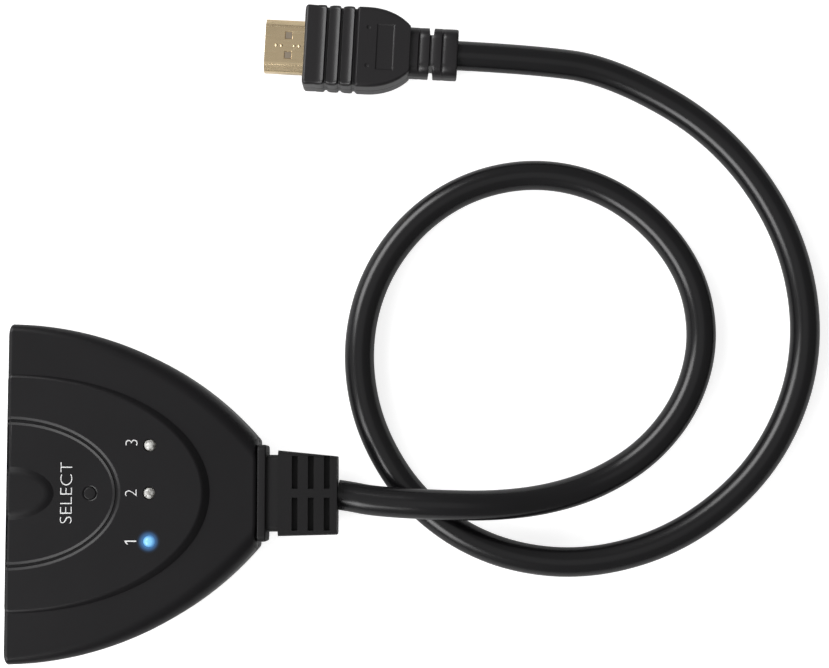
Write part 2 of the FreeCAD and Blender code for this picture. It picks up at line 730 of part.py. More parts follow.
def small_parts():
    """Chip capacitors behind the middle socket and beside the lamps, chip resistors in front of the lamps."""
    capacitors = []
    for step in range(3):
        capacitors.append(block(f"capacitor_{step}", "capacitor_length", "capacitor_width", "capacitor_height",
                                f"socket_rear + 1.3 + {step} * 1.6 * capacitor_length", "-6.4", "board_top"))
        capacitors.append(block(f"lamp_capacitor_{step}", "capacitor_width", "capacitor_length", "capacitor_height",
                                "lamp_x - 1.9", f"lamp_pitch + 4.1 + {step} * 1.5 * capacitor_length", "board_top"))
    resistors = []
    for step, share in enumerate((-1, -0.4, 0.4, 1)):
        resistors.append(block(f"resistor_{step}", "resistor_length", "resistor_width", "resistor_height",
                               "lamp_x - 2.5 - resistor_length", f"{share} * lamp_pitch", "board_top"))
    return [group("chip_capacitors", capacitors), group("chip_resistors", resistors)]


def screws():
    """Four self tapping screws from below, with cross recesses."""
    found = []
    for label, x, y in screw_places():
        head = rod(f"screw_head_{label}", "screw_head_radius", "screw_head_height", x, y,
                   "screw_seat - screw_head_height")
        shank = rod(f"screw_shank_{label}", "screw_thread_radius", "screw_length", x, y, "screw_seat")
        slots = [block(f"screw_slot_{label}_{turn}", length, width, "1", f"{x} - {length} / 2", y,
                       "screw_seat - screw_head_height - 0.2")
                 for turn, (length, width) in enumerate((("2.6", "0.6"), ("0.6", "2.6")))]
        found.append(cut(f"screw_{label}", joined(f"screw_blank_{label}", [head, shank]), slots))
    return group("case_screws", found)


def boot():
    """The boot moulded on the lead: anchor in the tip wall, flange, neck and a ribbed block that tapers."""
    flange = block("boot_flange", "flange_thickness", "flange_width", "flange_height", "tip", "0",
                   "lead_height - flange_height / 2")
    flange = rounded("boot_flange_round", flange, lambda edge: edge.BoundBox.XLength > 1, "3")
    neck = block("boot_neck", "neck_length + 0.4", "neck_width", "neck_height", "tip + flange_thickness - 0.2", "0",
                 "lead_height - neck_height / 2")
    neck = rounded("boot_neck_round", neck, lambda edge: edge.BoundBox.XLength > 1, "2")
    ends = []
    for label, x, width, height in (("near", "boot_start", "boot_width", "boot_height"),
                                    ("far", "boot_end", "boot_end_width", "boot_end_height")):
        sketch = corner_sketch(f"boot_section_{label}", ((f"-{width} / 2", f"-{height} / 2"),
                                                         (f"{width} / 2", f"-{height} / 2"),
                                                         (f"{width} / 2", f"{height} / 2"),
                                                         (f"-{width} / 2", f"{height} / 2")))
        sketch.Placement.Rotation = FreeCAD.Rotation(FreeCAD.Vector(1, 1, 1), 120)
        place(sketch, x, "0", "lead_height")
        ends.append(sketch)
    block_form = doc.addObject("Part::Loft", "boot_block")
    block_form.Sections = ends
    block_form.Solid = True
    block_form.Ruled = True
    ribbed = rounded("boot_block_round", block_form, lambda edge: edge.BoundBox.XLength > 8, "boot_round")
    grooves = []
    for step in range(3):
        x = f"boot_end - boot_groove_end - boot_groove - {step} * boot_groove_pitch"
        for side in (-1, 1):
            for level in (-1, 1):
                grooves.append(block(f"boot_groove_{step}_{side + 2}_{level + 2}", "boot_groove",
                                     "boot_groove_width", "4", x,
                                     f"{side} * (boot_spine + boot_groove_width) / 2",
                                     f"lead_height + {level} * (boot_height / 2 - boot_groove_depth + 2) - 2"))
    ribbed = cut("boot_ribs", ribbed, grooves)
    plug_in_wall = block("boot_in_wall", "wall + 0.4", "anchor_width", "anchor_height", "tip - wall - 0.2", "0",
                         "lead_height - anchor_height / 2")
    inner_flange = block("boot_inner_flange", "anchor_flange", "anchor_width + 4", "anchor_height + 2",
                         "tip - wall - anchor_flange", "0", "lead_height - anchor_height / 2 - 1")
    whole = joined("boot_whole", [flange, neck, ribbed, plug_in_wall, inner_flange])
    bore = rod("boot_bore", "lead_diameter / 2", "boot_end - tip + 10", "tip - 8", "0", "lead_height", True)
    return cut("cable_boot", whole, [bore])


def lead_inside():
    """The lead's inner end: jacket through the boot, crimp ring on it and conductors down to the board."""
    jacket = rod("lead_inner", "lead_diameter / 2", "boot_end - lead_inner_start", "lead_inner_start", "0",
                 "lead_height", True)
    ring = cut("crimp_ring", rod("ring_outer", "lead_diameter / 2 + ring_sheet", "ring_length", "lead_inner_start", "0",
                                 "lead_height", True),
               [rod("ring_bore", "lead_diameter / 2", "ring_length + 2", "lead_inner_start - 1", "0", "lead_height",
                    True)])
    wires = []
    radius = number("wire_radius")
    for step in range(9):
        offset = step - 4
        start = FreeCAD.Vector(number("lead_inner_start"), offset * number("lead_diameter") * 0.11,
                               number("lead_height") - abs(offset) * 0.1)
        end = FreeCAD.Vector(number("board_tip") - 1.6, offset * number("wire_pitch"), number("board_top") + radius)
        middle = FreeCAD.Vector(number("board_tip") + 1.6, offset * number("wire_pitch") * 0.9,
                                number("board_top") + radius + 0.4)
        spine = Part.BSplineCurve()
        spine.buildFromPoles([start, start - FreeCAD.Vector(2.6, 0, 0), middle, end], False, 3)
        section = Part.Wire([Part.Circle(start, FreeCAD.Vector(1, 0, 0), radius).toShape()])
        wires.append(Part.Wire([spine.toShape()]).makePipeShell([section], True, False))
    conductors = doc.addObject("Part::Feature", "conductors")
    conductors.Shape = Part.Compound(wires)
    return [jacket, ring, conductors]


# The lead's way as it lies, from the boot to the plug. The first points carry it over its own second strand.
LEAD_ROUTE = (
    (51.0, 0.0, 10.0), (53.5, 0.0, 10.0), (61.0, -1.9, 11.2), (76.5, -3.0, 12.9), (91.2, -3.2, 10.6),
    (105.3, -1.5, 6.4), (118.8, 2.9, 3.65), (131.5, 11.3, 3.65), (141.0, 24.0, 3.65), (144.8, 39.4, 3.65), (142.1, 55.6, 3.65),
    (132.5, 69.9, 3.65), (118.1, 79.7, 3.65), (101.0, 83.0, 3.65), (83.5, 79.2, 3.65), (68.8, 68.8, 3.65),
    (58.7, 53.2, 3.65), (55.3, 34.6, 3.65), (59.2, 14.9, 3.65), (71.6, -3.3, 3.65), (91.2, -15.3, 3.65),
    (115.5, -18.6, 3.65), (140.8, -10.5, 3.65), (162.2, 8.8, 3.65), (172.6, 36.3, 3.65), (168.3, 66.6, 3.65),
    (150.1, 93.3, 3.65), (121.7, 109.7, 3.65), (101.0, 112.18, 5.7), (81.6, 113.2, 5.7))
PLUG_TURN = 177


def lead_points():
    """The route with its first point on the boot's end and its heights tied to the lead's own diameter."""
    lift = number("lead_diameter") / 2 - 3.65
    points = [FreeCAD.Vector(x, y, z + lift) for x, y, z in LEAD_ROUTE]
    points[0] = FreeCAD.Vector(number("boot_end"), 0, number("lead_height"))
    points[1].z = number("lead_height")
    points[-2].z = number("plug_height")
    points[-1].z = number("plug_height")
    return points


def lead():
    """The free lead as a tube: straight runs joined by tangent arcs."""
    points = lead_points()
    runs = [(after - before).Length for before, after in zip(points, points[1:])]
    edges = []
    radii = []
    here = points[0]
    for index in range(1, len(points) - 1):
        before = (points[index - 1] - points[index]).normalize()
        after = (points[index + 1] - points[index]).normalize()
        turn = math.pi - before.getAngle(after)
        reach = 0.45 * min(runs[index - 1], runs[index])
        radii.append(reach / math.tan(turn / 2))
        first = points[index] + before * reach
        last = points[index] + after * reach
        inward = (before + after).normalize()
        middle = points[index] + inward * (radii[-1] / math.cos(turn / 2) - radii[-1])
        edges.append(Part.LineSegment(here, first).toShape())
        edges.append(Part.Arc(first, middle, last).toShape())
        here = last
    edges.append(Part.LineSegment(here, points[-1]).toShape())
    spine = Part.Wire(edges)
    radius = number("lead_diameter") / 2
    ring = Part.Wire([Part.Circle(points[0], points[1] - points[0], radius).toShape()])
    item = doc.addObject("Part::Feature", "lead")
    item.Shape = spine.makePipeShell([ring], True, True)
    expected = math.pi * radius ** 2 * spine.Length
    print("lead length", round(spine.Length, 1), "volume", round(item.Shape.Volume), "expected", round(expected))
    print("smallest radii", sorted(round(value, 1) for value in radii)[:6])
    return item


def plug_outline():
    """The overmould seen from above: square in front, with a back that closes in a half ellipse."""
    half = number("plug_body_width / 2")
    front = number("plug_body_end")
    middle = number("plug_taper_start")
    reach = number("plug_taper")
    centre = FreeCAD.Vector(middle, 0, 0)
    turned = Part.Ellipse(FreeCAD.Vector(middle - reach, 0, 0), FreeCAD.Vector(middle, -half, 0), centre)
    rounding = turned.toShape(-math.pi / 2, math.pi / 2)
    sides = [Part.LineSegment(FreeCAD.Vector(middle, half, 0), FreeCAD.Vector(front, half, 0)),
             Part.LineSegment(FreeCAD.Vector(front, half, 0), FreeCAD.Vector(front, -half, 0)),
             Part.LineSegment(FreeCAD.Vector(front, -half, 0), FreeCAD.Vector(middle, -half, 0))]
    return Part.Wire(Part.sortEdges([rounding] + [side.toShape() for side in sides])[0])


def plug():
    """The plug, built along X from the lead's end and then turned to lie as it does."""
    relief = block("relief_block", "relief_length", "relief_width", "relief_height", "0 * plug_height", "0",
                   "-relief_height / 2")
    relief = rounded("relief_round", relief, lambda edge: edge.BoundBox.XLength > 5, "2.4")
    slots = []
    for side in (-1, 1):
        slots.append(block(f"relief_slot_{side + 2}", "relief_slot", "6", "relief_height + 2", "relief_tip",
                           f"{side} * (relief_web / 2 + 3)", "-relief_height / 2 - 1"))
        slots.append(block(f"relief_groove_{side + 2}", "relief_groove", "relief_width + 2", "2", "2.6", "0",
                           f"{side} * (relief_height / 2 + 0.4) - 1"))
    relief = cut("relief", relief, slots)
    height = number("plug_body_height")
    drop = doc.addObject("Part::Feature", "plug_drop")
    drop.Shape = Part.Face(plug_outline()).extrude(FreeCAD.Vector(0, 0, height))
    drop.Placement.Base.z = -height / 2
    keep = block("plug_keep", "plug_body_end - plug_body_start + 5", "plug_body_width * 2", "plug_body_height * 2",
                 "plug_body_start", "0", "-plug_body_height")
    body = common("plug_body", [drop, keep])
    body = rounded("plug_rims", body, lambda edge: at_height(edge, height / 2) or at_height(edge, -height / 2),
                   "plug_rim_round")
    grooves = []
    for step in range(3):
        x = f"plug_first_groove + {step} * plug_rib"
        outer = block(f"plug_groove_outer_{step}", "plug_groove", "plug_body_width + 4", "plug_body_height + 4", x,
                      "0", "-plug_body_height / 2 - 2")
        inner = block(f"plug_groove_inner_{step}", "plug_groove", "plug_body_width - 2 * plug_groove_depth",
                      "plug_body_height - 2 * plug_groove_depth", x, "0", "-plug_body_height / 2 + plug_groove_depth")
        grooves.append(cut(f"plug_groove_{step}", outer, [inner]))
    panel = block("plug_panel", "plug_panel_length", "plug_panel_width", "1", "plug_panel_start", "0",
                  "plug_body_height / 2 - plug_panel_depth")
    solid = joined("plug_solid", [relief, cut("plug_ribs", body, grooves + [panel])])

    def shell_bar(name, start, length, inset):
        return dee_solid(name, start, length, inset, "0", "0", "shell", True)

    stub = rod("stub", "lead_diameter / 2", "core_start", "0 * plug_height", "0", "0", True)
    core = block("core", "shell_start - core_start", "core_width", "core_height", "core_start", "0",
                 "-core_height / 2")
    seat = shell_bar("shell_seat", "shell_start", "shell_end - shell_start", "0")
    over = cut("overmould_form", solid, [stub, core, seat])
    windows = [block(f"window_{side + 2}", "window_side", "window_side", "2", "43.9", f"{side} * window_offset",
                     "shell_height / 2 - 1.2") for side in (-1, 1)]
    metal = cut("shell_form", seat, [shell_bar("shell_hollow", "shell_start - 1", "shell_end - shell_start + 2",
                                               "shell_sheet")] + windows)
    filling = shell_bar("insulator_bar", "shell_start", "shell_end - shell_start - 0.6", "shell_sheet")
    mouth = block("insulator_mouth", "slot_depth + 1", "slot_width", "slot_height", "shell_end - 0.6 - slot_depth",
                  "0", "-slot_height / 2")
    insulator = cut("insulator_form", filling, [mouth])
    pins = []
    for row, count, level in (("upper", 10, "slot_height / 2 - contact_thickness"), ("lower", 9, "-slot_height / 2")):
        for step in range(count):
            offset = step - (count - 1) / 2
            pins.append(block(f"plug_pin_{row}_{step}", "slot_depth - 1.5", "contact_width", "contact_thickness",
                              "shell_end - 0.6 - slot_depth + 0.2", f"{offset} * contact_pitch", level))
    return {"plug_overmould": over, "plug_shell": metal, "plug_insulator": insulator,
            "plug_contacts": group("pins_form", pins), "plug_core": core, "lead_in_plug": stub}


def laid(forms):
    """Turn the plug's pieces about their common end and set them down at the end of the lead."""
    end = lead_points()[-1]
    rest = FreeCAD.Placement(end, FreeCAD.Rotation(FreeCAD.Vector(0, 0, 1), PLUG_TURN))
    doc.recompute()
    found = []
    for name, form in forms.items():
        item = doc.addObject("Part::Feature", name)
        shape = form.Shape.copy()
        shape.Placement = rest.multiply(shape.Placement)
        item.Shape = shape
        found.append(item)
    return found


nodes = [bottom_shell(), top_shell(), button(), board(), lamp_legs(), screws(), boot(), lead()]
nodes += push_switch()
for index, y in SOCKETS:
    nodes += socket(index, y)
for index in (-1, 0, 1):
    nodes.append(lamp(index + 2, f"{index} * lamp_pitch"))
nodes += chip("switching_chip", 12)
nodes += chip("control_chip", 4)
nodes += chip("regulator", 3)
nodes += small_parts()
nodes += lead_inside()
nodes += laid(plug())
doc.recompute()

for item in doc.Objects:
    if "Invalid" in item.State or "Error" in item.State:
        print("PROBLEM", item.Name, item.State)

os.makedirs("parts", exist_ok=True)
for node in nodes:
    shape = node.Shape
    if shape.isNull() or not shape.isValid():
        print("BAD SHAPE", node.Name)
        continue
    node.Label = node.Name
    shape.exportStep(f"parts/{node.Name}.step")
    box = shape.optimalBoundingBox(False, False)
    print(f"{node.Name:24s} solids {len(shape.Solids):3d} volume {shape.Volume:9.1f} "
          f"x {box.XMin:6.1f} {box.XMax:6.1f} y {box.YMin:6.1f} {box.YMax:6.1f} z {box.ZMin:5.2f} {box.ZMax:5.2f}")
print(len(nodes), "nodes")
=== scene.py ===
import math

import bmesh
import bpy
from mathutils import Matrix, Vector


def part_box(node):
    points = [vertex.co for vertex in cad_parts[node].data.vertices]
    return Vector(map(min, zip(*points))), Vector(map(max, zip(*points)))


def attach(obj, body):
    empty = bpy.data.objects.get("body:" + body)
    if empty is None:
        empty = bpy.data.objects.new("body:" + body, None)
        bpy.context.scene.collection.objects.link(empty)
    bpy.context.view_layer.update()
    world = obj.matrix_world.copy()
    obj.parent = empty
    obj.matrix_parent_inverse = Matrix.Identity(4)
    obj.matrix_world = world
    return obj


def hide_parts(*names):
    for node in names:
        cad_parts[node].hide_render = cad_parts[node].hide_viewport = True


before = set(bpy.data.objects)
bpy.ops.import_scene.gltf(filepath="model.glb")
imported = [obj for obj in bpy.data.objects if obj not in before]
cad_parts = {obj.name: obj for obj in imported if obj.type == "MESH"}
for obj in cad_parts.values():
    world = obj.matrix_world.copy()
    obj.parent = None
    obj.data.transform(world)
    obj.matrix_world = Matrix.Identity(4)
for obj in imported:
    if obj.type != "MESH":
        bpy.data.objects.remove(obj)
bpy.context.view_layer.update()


# The table, the lamps and the camera
# A pale matt table under two soft boxes on the sockets' side, one toward each flank, and a weak light on
# the ceiling. The camera hangs over the lead and looks almost straight down.

WHITE = (1, 1, 1, 1)
SUBJECT = Vector((0.07, 0.04, 0))
TABLE_SIZE = 8
TABLE_GREY = 0.55
TABLE_GLOW = 0.8
TABLE_MIRRORED = 0.16
SKY_LEVEL = 0.225
SKY_SLANT = 0.08
SKY_MIRRORED = 0.04
SOFT_BOX = (0.8, 0.5)
SOFT_BOX_POWER = 8.5
CEILING = (1, 1)
CEILING_POWER = 0.8
EYE = (0.0704, 0.0028, 0.487)
TILT = 4.5
SENSOR = 36
FOCAL_PIXELS = 1880
PHOTO_WIDTH = 829


class Reading:
    """A value inside a finish. Arithmetic on it adds Math nodes."""

    def __init__(self, finish, socket):
        self.finish = finish
        self.socket = socket

    def reckon(self, operation, *values):
        return self.finish.node("Math", {"operation": operation}, dict(enumerate(values)))

    def __add__(self, other):
        return self.reckon("ADD", self, other)

    def __sub__(self, other):
        return self.reckon("SUBTRACT", self, other)

    def __rsub__(self, other):
        return self.reckon("SUBTRACT", other, self)

    def __mul__(self, other):
        return self.reckon("MULTIPLY", self, other)

    def __truediv__(self, other):
        return self.reckon("DIVIDE", self, other)

    __radd__ = __add__
    __rmul__ = __mul__


class Finish:
    """The nodes of a material or a sky, from what feeds its shader to the shader itself."""

    def __init__(self, owner, shader, **constants):
        owner.use_nodes = True
        self.owner = owner
        self.tree = owner.node_tree
        self.shader = self.tree.nodes[shader]
        self.surface(**constants)

    def feed(self, node, inputs):
        for name, value in inputs.items():
            if isinstance(value, Reading):
                self.tree.links.new(value.socket, node.inputs[name])
            else:
                node.inputs[name].default_value = value

    def node(self, kind, settings=None, inputs=None, output=0):
        made = self.tree.nodes.new("ShaderNode" + kind)
        for name, value in (settings or {}).items():
            if name == "stops":
                ramp = made.color_ramp
                for position, level in value[2:]:
                    ramp.elements.new(position)
                for element, (position, level) in zip(ramp.elements, value):
                    element.position = position
                    element.color = (level, level, level, 1)
            else:
                setattr(made, name, value)
        self.feed(made, inputs or {})
        return Reading(self, made.outputs[output])

    def surface(self, **inputs):
        self.feed(self.shader, {name.replace("_", " "): value for name, value in inputs.items()})


def principled(name, **constants):
    return Finish(bpy.data.materials.new(name), "Principled BSDF", **constants)


def ray_kinds(finish):
    """Masks of the rays that come from the camera, from a mirror and through a clear body."""
    kinds = ("Camera", "Glossy", "Transmission")
    return [finish.node("LightPath", output=f"Is {kind} Ray") for kind in kinds]


bpy.ops.object.select_all(action="DESELECT")
bpy.ops.mesh.primitive_plane_add(size=TABLE_SIZE, location=SUBJECT)
table = bpy.context.object
table.name = "table"
pale_table = principled("pale table", Base_Color=(TABLE_GREY, TABLE_GREY, TABLE_GREY, 1), Roughness=0.9,
                        Specular_IOR_Level=0.1, Emission_Color=WHITE)
direct, mirrored, through = ray_kinds(pale_table)
pale_table.surface(Emission_Strength=TABLE_GLOW * direct + TABLE_MIRRORED * (mirrored + through))
table.data.materials.append(pale_table.owner)

world = bpy.data.worlds.new("studio")
bpy.context.scene.world = world
sky = Finish(world, "Background", Color=WHITE)
direct, mirrored, through = ray_kinds(sky)
toward_lead = sky.node("SeparateXYZ", inputs={0: sky.node("TexCoord", output="Generated")})
room = SKY_LEVEL - SKY_SLANT * toward_lead
sky.surface(Strength=room + (1 - room) * direct + SKY_MIRRORED * (mirrored + through))

for name, offset, power, size in (("near soft box", (-0.66, -0.56, 0.62), SOFT_BOX_POWER, SOFT_BOX),
                                  ("far soft box", (-0.66, 0.56, 0.62), SOFT_BOX_POWER, SOFT_BOX),
                                  ("ceiling", (0, -0.1, 1.4), CEILING_POWER, CEILING)):
    bpy.ops.object.light_add(type="AREA", location=SUBJECT + Vector(offset))
    lamp = bpy.context.object
    lamp.name = name
    lamp.data.energy = power
    lamp.data.shape = "RECTANGLE"
    lamp.data.size, lamp.data.size_y = size
    lamp.rotation_euler = (-Vector(offset)).to_track_quat("-Z", "Y").to_euler()

bpy.ops.object.camera_add(location=EYE, rotation=(math.radians(TILT), 0, 0))
camera = bpy.context.object
camera.data.sensor_width = SENSOR
camera.data.lens = SENSOR * FOCAL_PIXELS / PHOTO_WIDTH
bpy.context.scene.camera = camera
bpy.context.scene.view_settings.view_transform = "Standard"


# The top shell
# An arched cover of black satin plastic, moulded in one shot. Its flanks roll over more and more toward
# the lead, and a raised plateau on it holds a shallow dish for the button and a thumb tab at the back.

# Distances that count as close or as the same spot, and how far cutters overlap or run past
MM = 0.001
NEAR = 0.01 * MM
VERY_NEAR = 0.001 * MM
SAME_SPOT = 0.0001 * MM
OVERLAP = 0.05 * MM
PAST = 1 * MM

# The blank, between two large circles, with a band that falls toward the tip and rolled shoulders
BACK = -31.1 * MM
TIP = 31.1 * MM
SPARE = 1.4 * MM
SEAM = 9 * MM
BLANK_TOP = 24 * MM
FLANK_RADIUS = 81.5 * MM
FLANK_CENTRE = 39.2 * MM
FLANK_STEPS = 480
HALF_WIDTH = FLANK_RADIUS - FLANK_CENTRE
TIP_HALF_WIDTH = 13.46 * MM
BAND_BACK = 18.5 * MM
BAND_TIP = 16.9 * MM
BAND_FALL = (BAND_BACK - BAND_TIP) / (TIP - BACK)
SHOULDER_BACK = 2 * MM
SHOULDER_TIP = 6.5 * MM
SHOULDER_STEPS = 10
END_STEPS = 6
BACK_ROUND = (1.1 * MM, 1.5 * MM, 0.8 * MM)
TIP_ROUND = (1.2 * MM, 1 * MM, 1.2 * MM)

# The plateau, the dish and the tab: half lengths of ellipses about the middle of the back, and heights
OVAL_STEPS = 240
OVAL_SLACK = 0.004
PLATEAU = 18.9 * MM
PLATEAU_SINK = 2.4 * MM
PLATEAU_EDGE = (48.8 * MM, 29.1 * MM)
PLATEAU_FOOT = (51.2 * MM, 31.5 * MM)
PLATEAU_ROUND = 0.48 * MM
DISH = 18.1 * MM
DISH_NARROWING = 9.4 * MM
DISH_SINK = 0.4 * MM
RIM_EDGE = 28.5 * MM
RIM_FOOT = (27.85 * MM, 18.6 * MM)
RIM_ROUND = 0.12 * MM
GROOVE_OUTSIDE = 27.8 * MM
BEAD_OUTSIDE = 27.25 * MM
BEAD_CREST = (27.1 * MM, 18.4 * MM)
BEAD_INSIDE = 26.4 * MM
TAB_EDGE = (10.2 * MM, 5.1 * MM)
TAB_FOOT = (12.6 * MM, 7.5 * MM)
TAB_ROUND = 0.8 * MM

# The hollow and the openings in it
WALL = 2.2 * MM
ROOF = 2.4 * MM
ROOF_ROUND = 2.4 * MM
UNDER_ROOF = 12 * MM
SOCKET_PITCH = 24.5 * MM
OPENING_HALF = 7.75 * MM
OPENING_LOW = 6 * MM
OPENING_TOP = 12 * MM
OPENING_DEPTH = 4 * MM
LAMP_ROW = 4.5 * MM
LAMP_PITCH = 11.9 * MM
LAMP_HOLE = 1.6 * MM
BUTTON = -10.3 * MM
WELL_RADIUS = 1.56 * MM
WELL_MOUTH = 1.95 * MM
WELL_FLARE = 0.18 * MM

# The plastic and the first lamp's light, painted on it as a blue glow
PLASTIC_PATCH = 18 * MM
PLASTIC_SHADES = (0.9, 1.1)
PATCH_GLOSS = 0.08
GRAIN_GLOSS = 0.06
SPILL_REACH = 3 * MM
SPILL_STOPS = ((0.5, 0.42), (0.63, 0.24), (0.85, 0.03), (1.0, 0))
SPILL_BLUE = (0.14, 0.44, 1.0)


def rest():
    """Leaves edit mode with nothing selected."""
    if bpy.context.object and bpy.context.object.mode != "OBJECT":
        bpy.ops.object.mode_set(mode="OBJECT")
    bpy.ops.object.select_all(action="DESELECT")


def take(piece):
    """Makes a piece the only one selected."""
    rest()
    piece.select_set(True)
    bpy.context.view_layer.objects.active = piece


def pick(piece, kind, test):
    """Selects in edit mode the points, edges or faces all of whose corners pass the test."""
    take(piece)
    bpy.ops.object.mode_set(mode="EDIT")
    bpy.ops.mesh.select_mode(type=kind)
    bpy.ops.mesh.select_all(action="DESELECT")
    shape = bmesh.from_edit_mesh(piece.data)
    for part in {"VERT": shape.verts, "EDGE": shape.edges, "FACE": shape.faces}[kind]:
        corners = [part] if kind == "VERT" else part.verts
        part.select_set(all(test(corner.co) for corner in corners))
    bmesh.update_edit_mesh(piece.data)


def settle(piece):
    """Moves a piece's place, turn and size into its mesh."""
    take(piece)
    bpy.ops.object.transform_apply(location=True, rotation=True, scale=True)
    return piece


def drum(radius, x, y, low, high, steps=48):
    rest()
    bpy.ops.mesh.primitive_cylinder_add(vertices=steps, radius=radius, depth=high - low,
                                        location=(x, y, (low + high) / 2))
    return settle(bpy.context.object)


def block(low, high):
    rest()
    bpy.ops.mesh.primitive_cube_add(size=1, location=[(a + b) / 2 for a, b in zip(low, high)])
    bpy.context.object.scale = [b - a for a, b in zip(low, high)]
    return settle(bpy.context.object)


def modify(piece, kind, **settings):
    """Gives a piece a modifier and applies it."""
    take(piece)
    step = piece.modifiers.new(kind.lower(), kind)
    for name, value in settings.items():
        setattr(step, name, value)
    bpy.ops.object.modifier_apply(modifier=step.name)


def combine(piece, other, way):
    """Joins a second solid to a piece, cuts it out, or keeps what both share. The second one goes."""
    modify(piece, "BOOLEAN", operation=way, solver="EXACT", object=other)
    bpy.data.objects.remove(other)
    return piece


def divide(piece, spot, normal, cut_off=False):
    """Cuts along a plane. With cut_off, what lies beyond it goes and the cut is closed."""
    take(piece)
    bpy.ops.object.mode_set(mode="EDIT")
    bpy.ops.mesh.select_all(action="SELECT")
    bpy.ops.mesh.bisect(plane_co=spot, plane_no=normal, clear_outer=cut_off, use_fill=cut_off,
                        threshold=SAME_SPOT)
    rest()


def quarter_turn(steps):
    return [step / steps * math.pi / 2 for step in range(steps + 1)]


def round_end(piece, place, inward, sizes, reach):
    """Rounds the rim of an end face: the rings of points near it draw in toward the middle of the seam.
    The sizes are the round's depth along the piece, and how far it drops at the sides and at the top."""
    depth, *drops = sizes
    turns = quarter_turn(END_STEPS)
    rings = [place + inward * depth * (1 - math.cos(turn)) for turn in turns]
    for ring in rings[1:]:
        divide(piece, (ring, 0, 0), (1, 0, 0))
    for ring, turn in zip(rings, turns):
        across, up = [1 - drop * (1 - math.sin(turn)) / far for drop, far in zip(drops, reach)]
        pick(piece, "VERT", lambda spot: abs(spot.x - ring) < VERY_NEAR)
        bpy.ops.transform.resize(value=(1, across, up), center_override=(ring, 0, SEAM))
    rest()


def bevel(piece, test, radius, segments=3):
    """Rounds the edges whose corners pass the test."""
    pick(piece, "EDGE", test)
    bpy.ops.mesh.bevel(offset=radius, segments=segments, affect="EDGES", clamp_overlap=False)
    rest()


def fit(piece, name, finish, nodes=(), body="case", crease=40):
    """Smooths a piece, names it, gives it its finish and fixes it to its body."""
    take(piece)
    bpy.ops.object.mode_set(mode="EDIT")
    bpy.ops.mesh.select_all(action="SELECT")
    bpy.ops.mesh.remove_doubles(threshold=SAME_SPOT)
    take(piece)
    bpy.ops.object.shade_smooth_by_angle(angle=math.radians(crease))
    modify(piece, "WEIGHTED_NORMAL", keep_sharp=True)
    piece.name = name
    piece.data.name = name
    piece.data.materials.clear()
    piece.data.materials.append(finish.owner)
    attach(piece, body)
    if nodes:
        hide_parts(*nodes)
    return piece


def noise(finish, size, detail=2):
    """A soft random pattern whose patches are about the given size."""
    place = finish.node("TexCoord", output="Object")
    return finish.node("TexNoise", inputs={"Vector": place, "Scale": 1 / size, "Detail": detail})


def distance(finish, spot):
    """How far each point of the surface lies from a spot."""
    place = finish.node("TexCoord", output="Object")
    return finish.node("VectorMath", {"operation": "DISTANCE"}, {0: place, 1: spot}, "Value")


def graded(finish, value, stops):
    """A value read against pairs of position and level."""
    return finish.node("ValToRGB", {"stops": stops}, {"Fac": value})


def shades(finish, mask, first, second):
    """A colour that goes from the first to the second as the mask rises."""
    return finish.node("Mix", {"data_type": "RGBA"}, {0: mask, 6: (*first, 1), 7: (*second, 1)}, 2)


def tint(colour, share):
    return [part * share for part in colour]


def moulded(name, colour, roughness, grain, relief, gloss=0.5):
    """Moulded plastic: a fine sparked grain under slow changes of shade and gloss."""
    finish = principled(name, Specular_IOR_Level=gloss)
    slow = noise(finish, PLASTIC_PATCH, 4)
    fine = noise(finish, grain)
    raised = finish.node("Bump", inputs={"Height": fine, "Distance": relief, "Strength": 1.0})
    darker, lighter = [tint(colour, share) for share in PLASTIC_SHADES]
    finish.surface(Base_Color=shades(finish, slow, darker, lighter), Normal=raised,
                   Roughness=roughness + PATCH_GLOSS * (slow - 0.5) + GRAIN_GLOSS * (fine - 0.5))
    return finish


def lens(radius, low, high):
    """The case's outline as a solid: what two large drums share, one for each flank."""
    solid = drum(radius, BACK, -FLANK_CENTRE, low, high, FLANK_STEPS)
    return combine(solid, drum(radius, BACK, FLANK_CENTRE, low, high, FLANK_STEPS), "INTERSECT")


def mound(foot, edge, low, high):
    """A solid with an elliptical foot and top edge about the middle of the case's back."""
    solid = drum(1, BACK, 0, low, high, OVAL_STEPS)
    for level, (along, across) in ((low, foot), (high, edge)):
        pick(solid, "VERT", lambda spot: abs(spot.z - level) < NEAR)
        bpy.ops.transform.resize(value=(along, across, 1), center_override=(BACK, 0, level))
    rest()
    return solid


def cone(foot, low, edge, high, reach):
    """A mound of the dish's shape, from its half lengths, whose side runs on past the edge by the reach."""
    share = (high + reach - low) / (high - low)
    far = foot + (edge - foot) * share
    return mound((foot, foot - DISH_NARROWING), (far, far - DISH_NARROWING), low, high + reach)


def on_oval(spot, oval, level):
    """True on the elliptical edge that a mound leaves at a level."""
    ratio = ((spot.x - BACK) / oval[0]) ** 2 + (spot.y / oval[1]) ** 2
    return abs(spot.z - level) < NEAR and abs(ratio - 1) < OVAL_SLACK


def band_height(spot):
    return BAND_BACK - BAND_FALL * (spot.x - BACK)


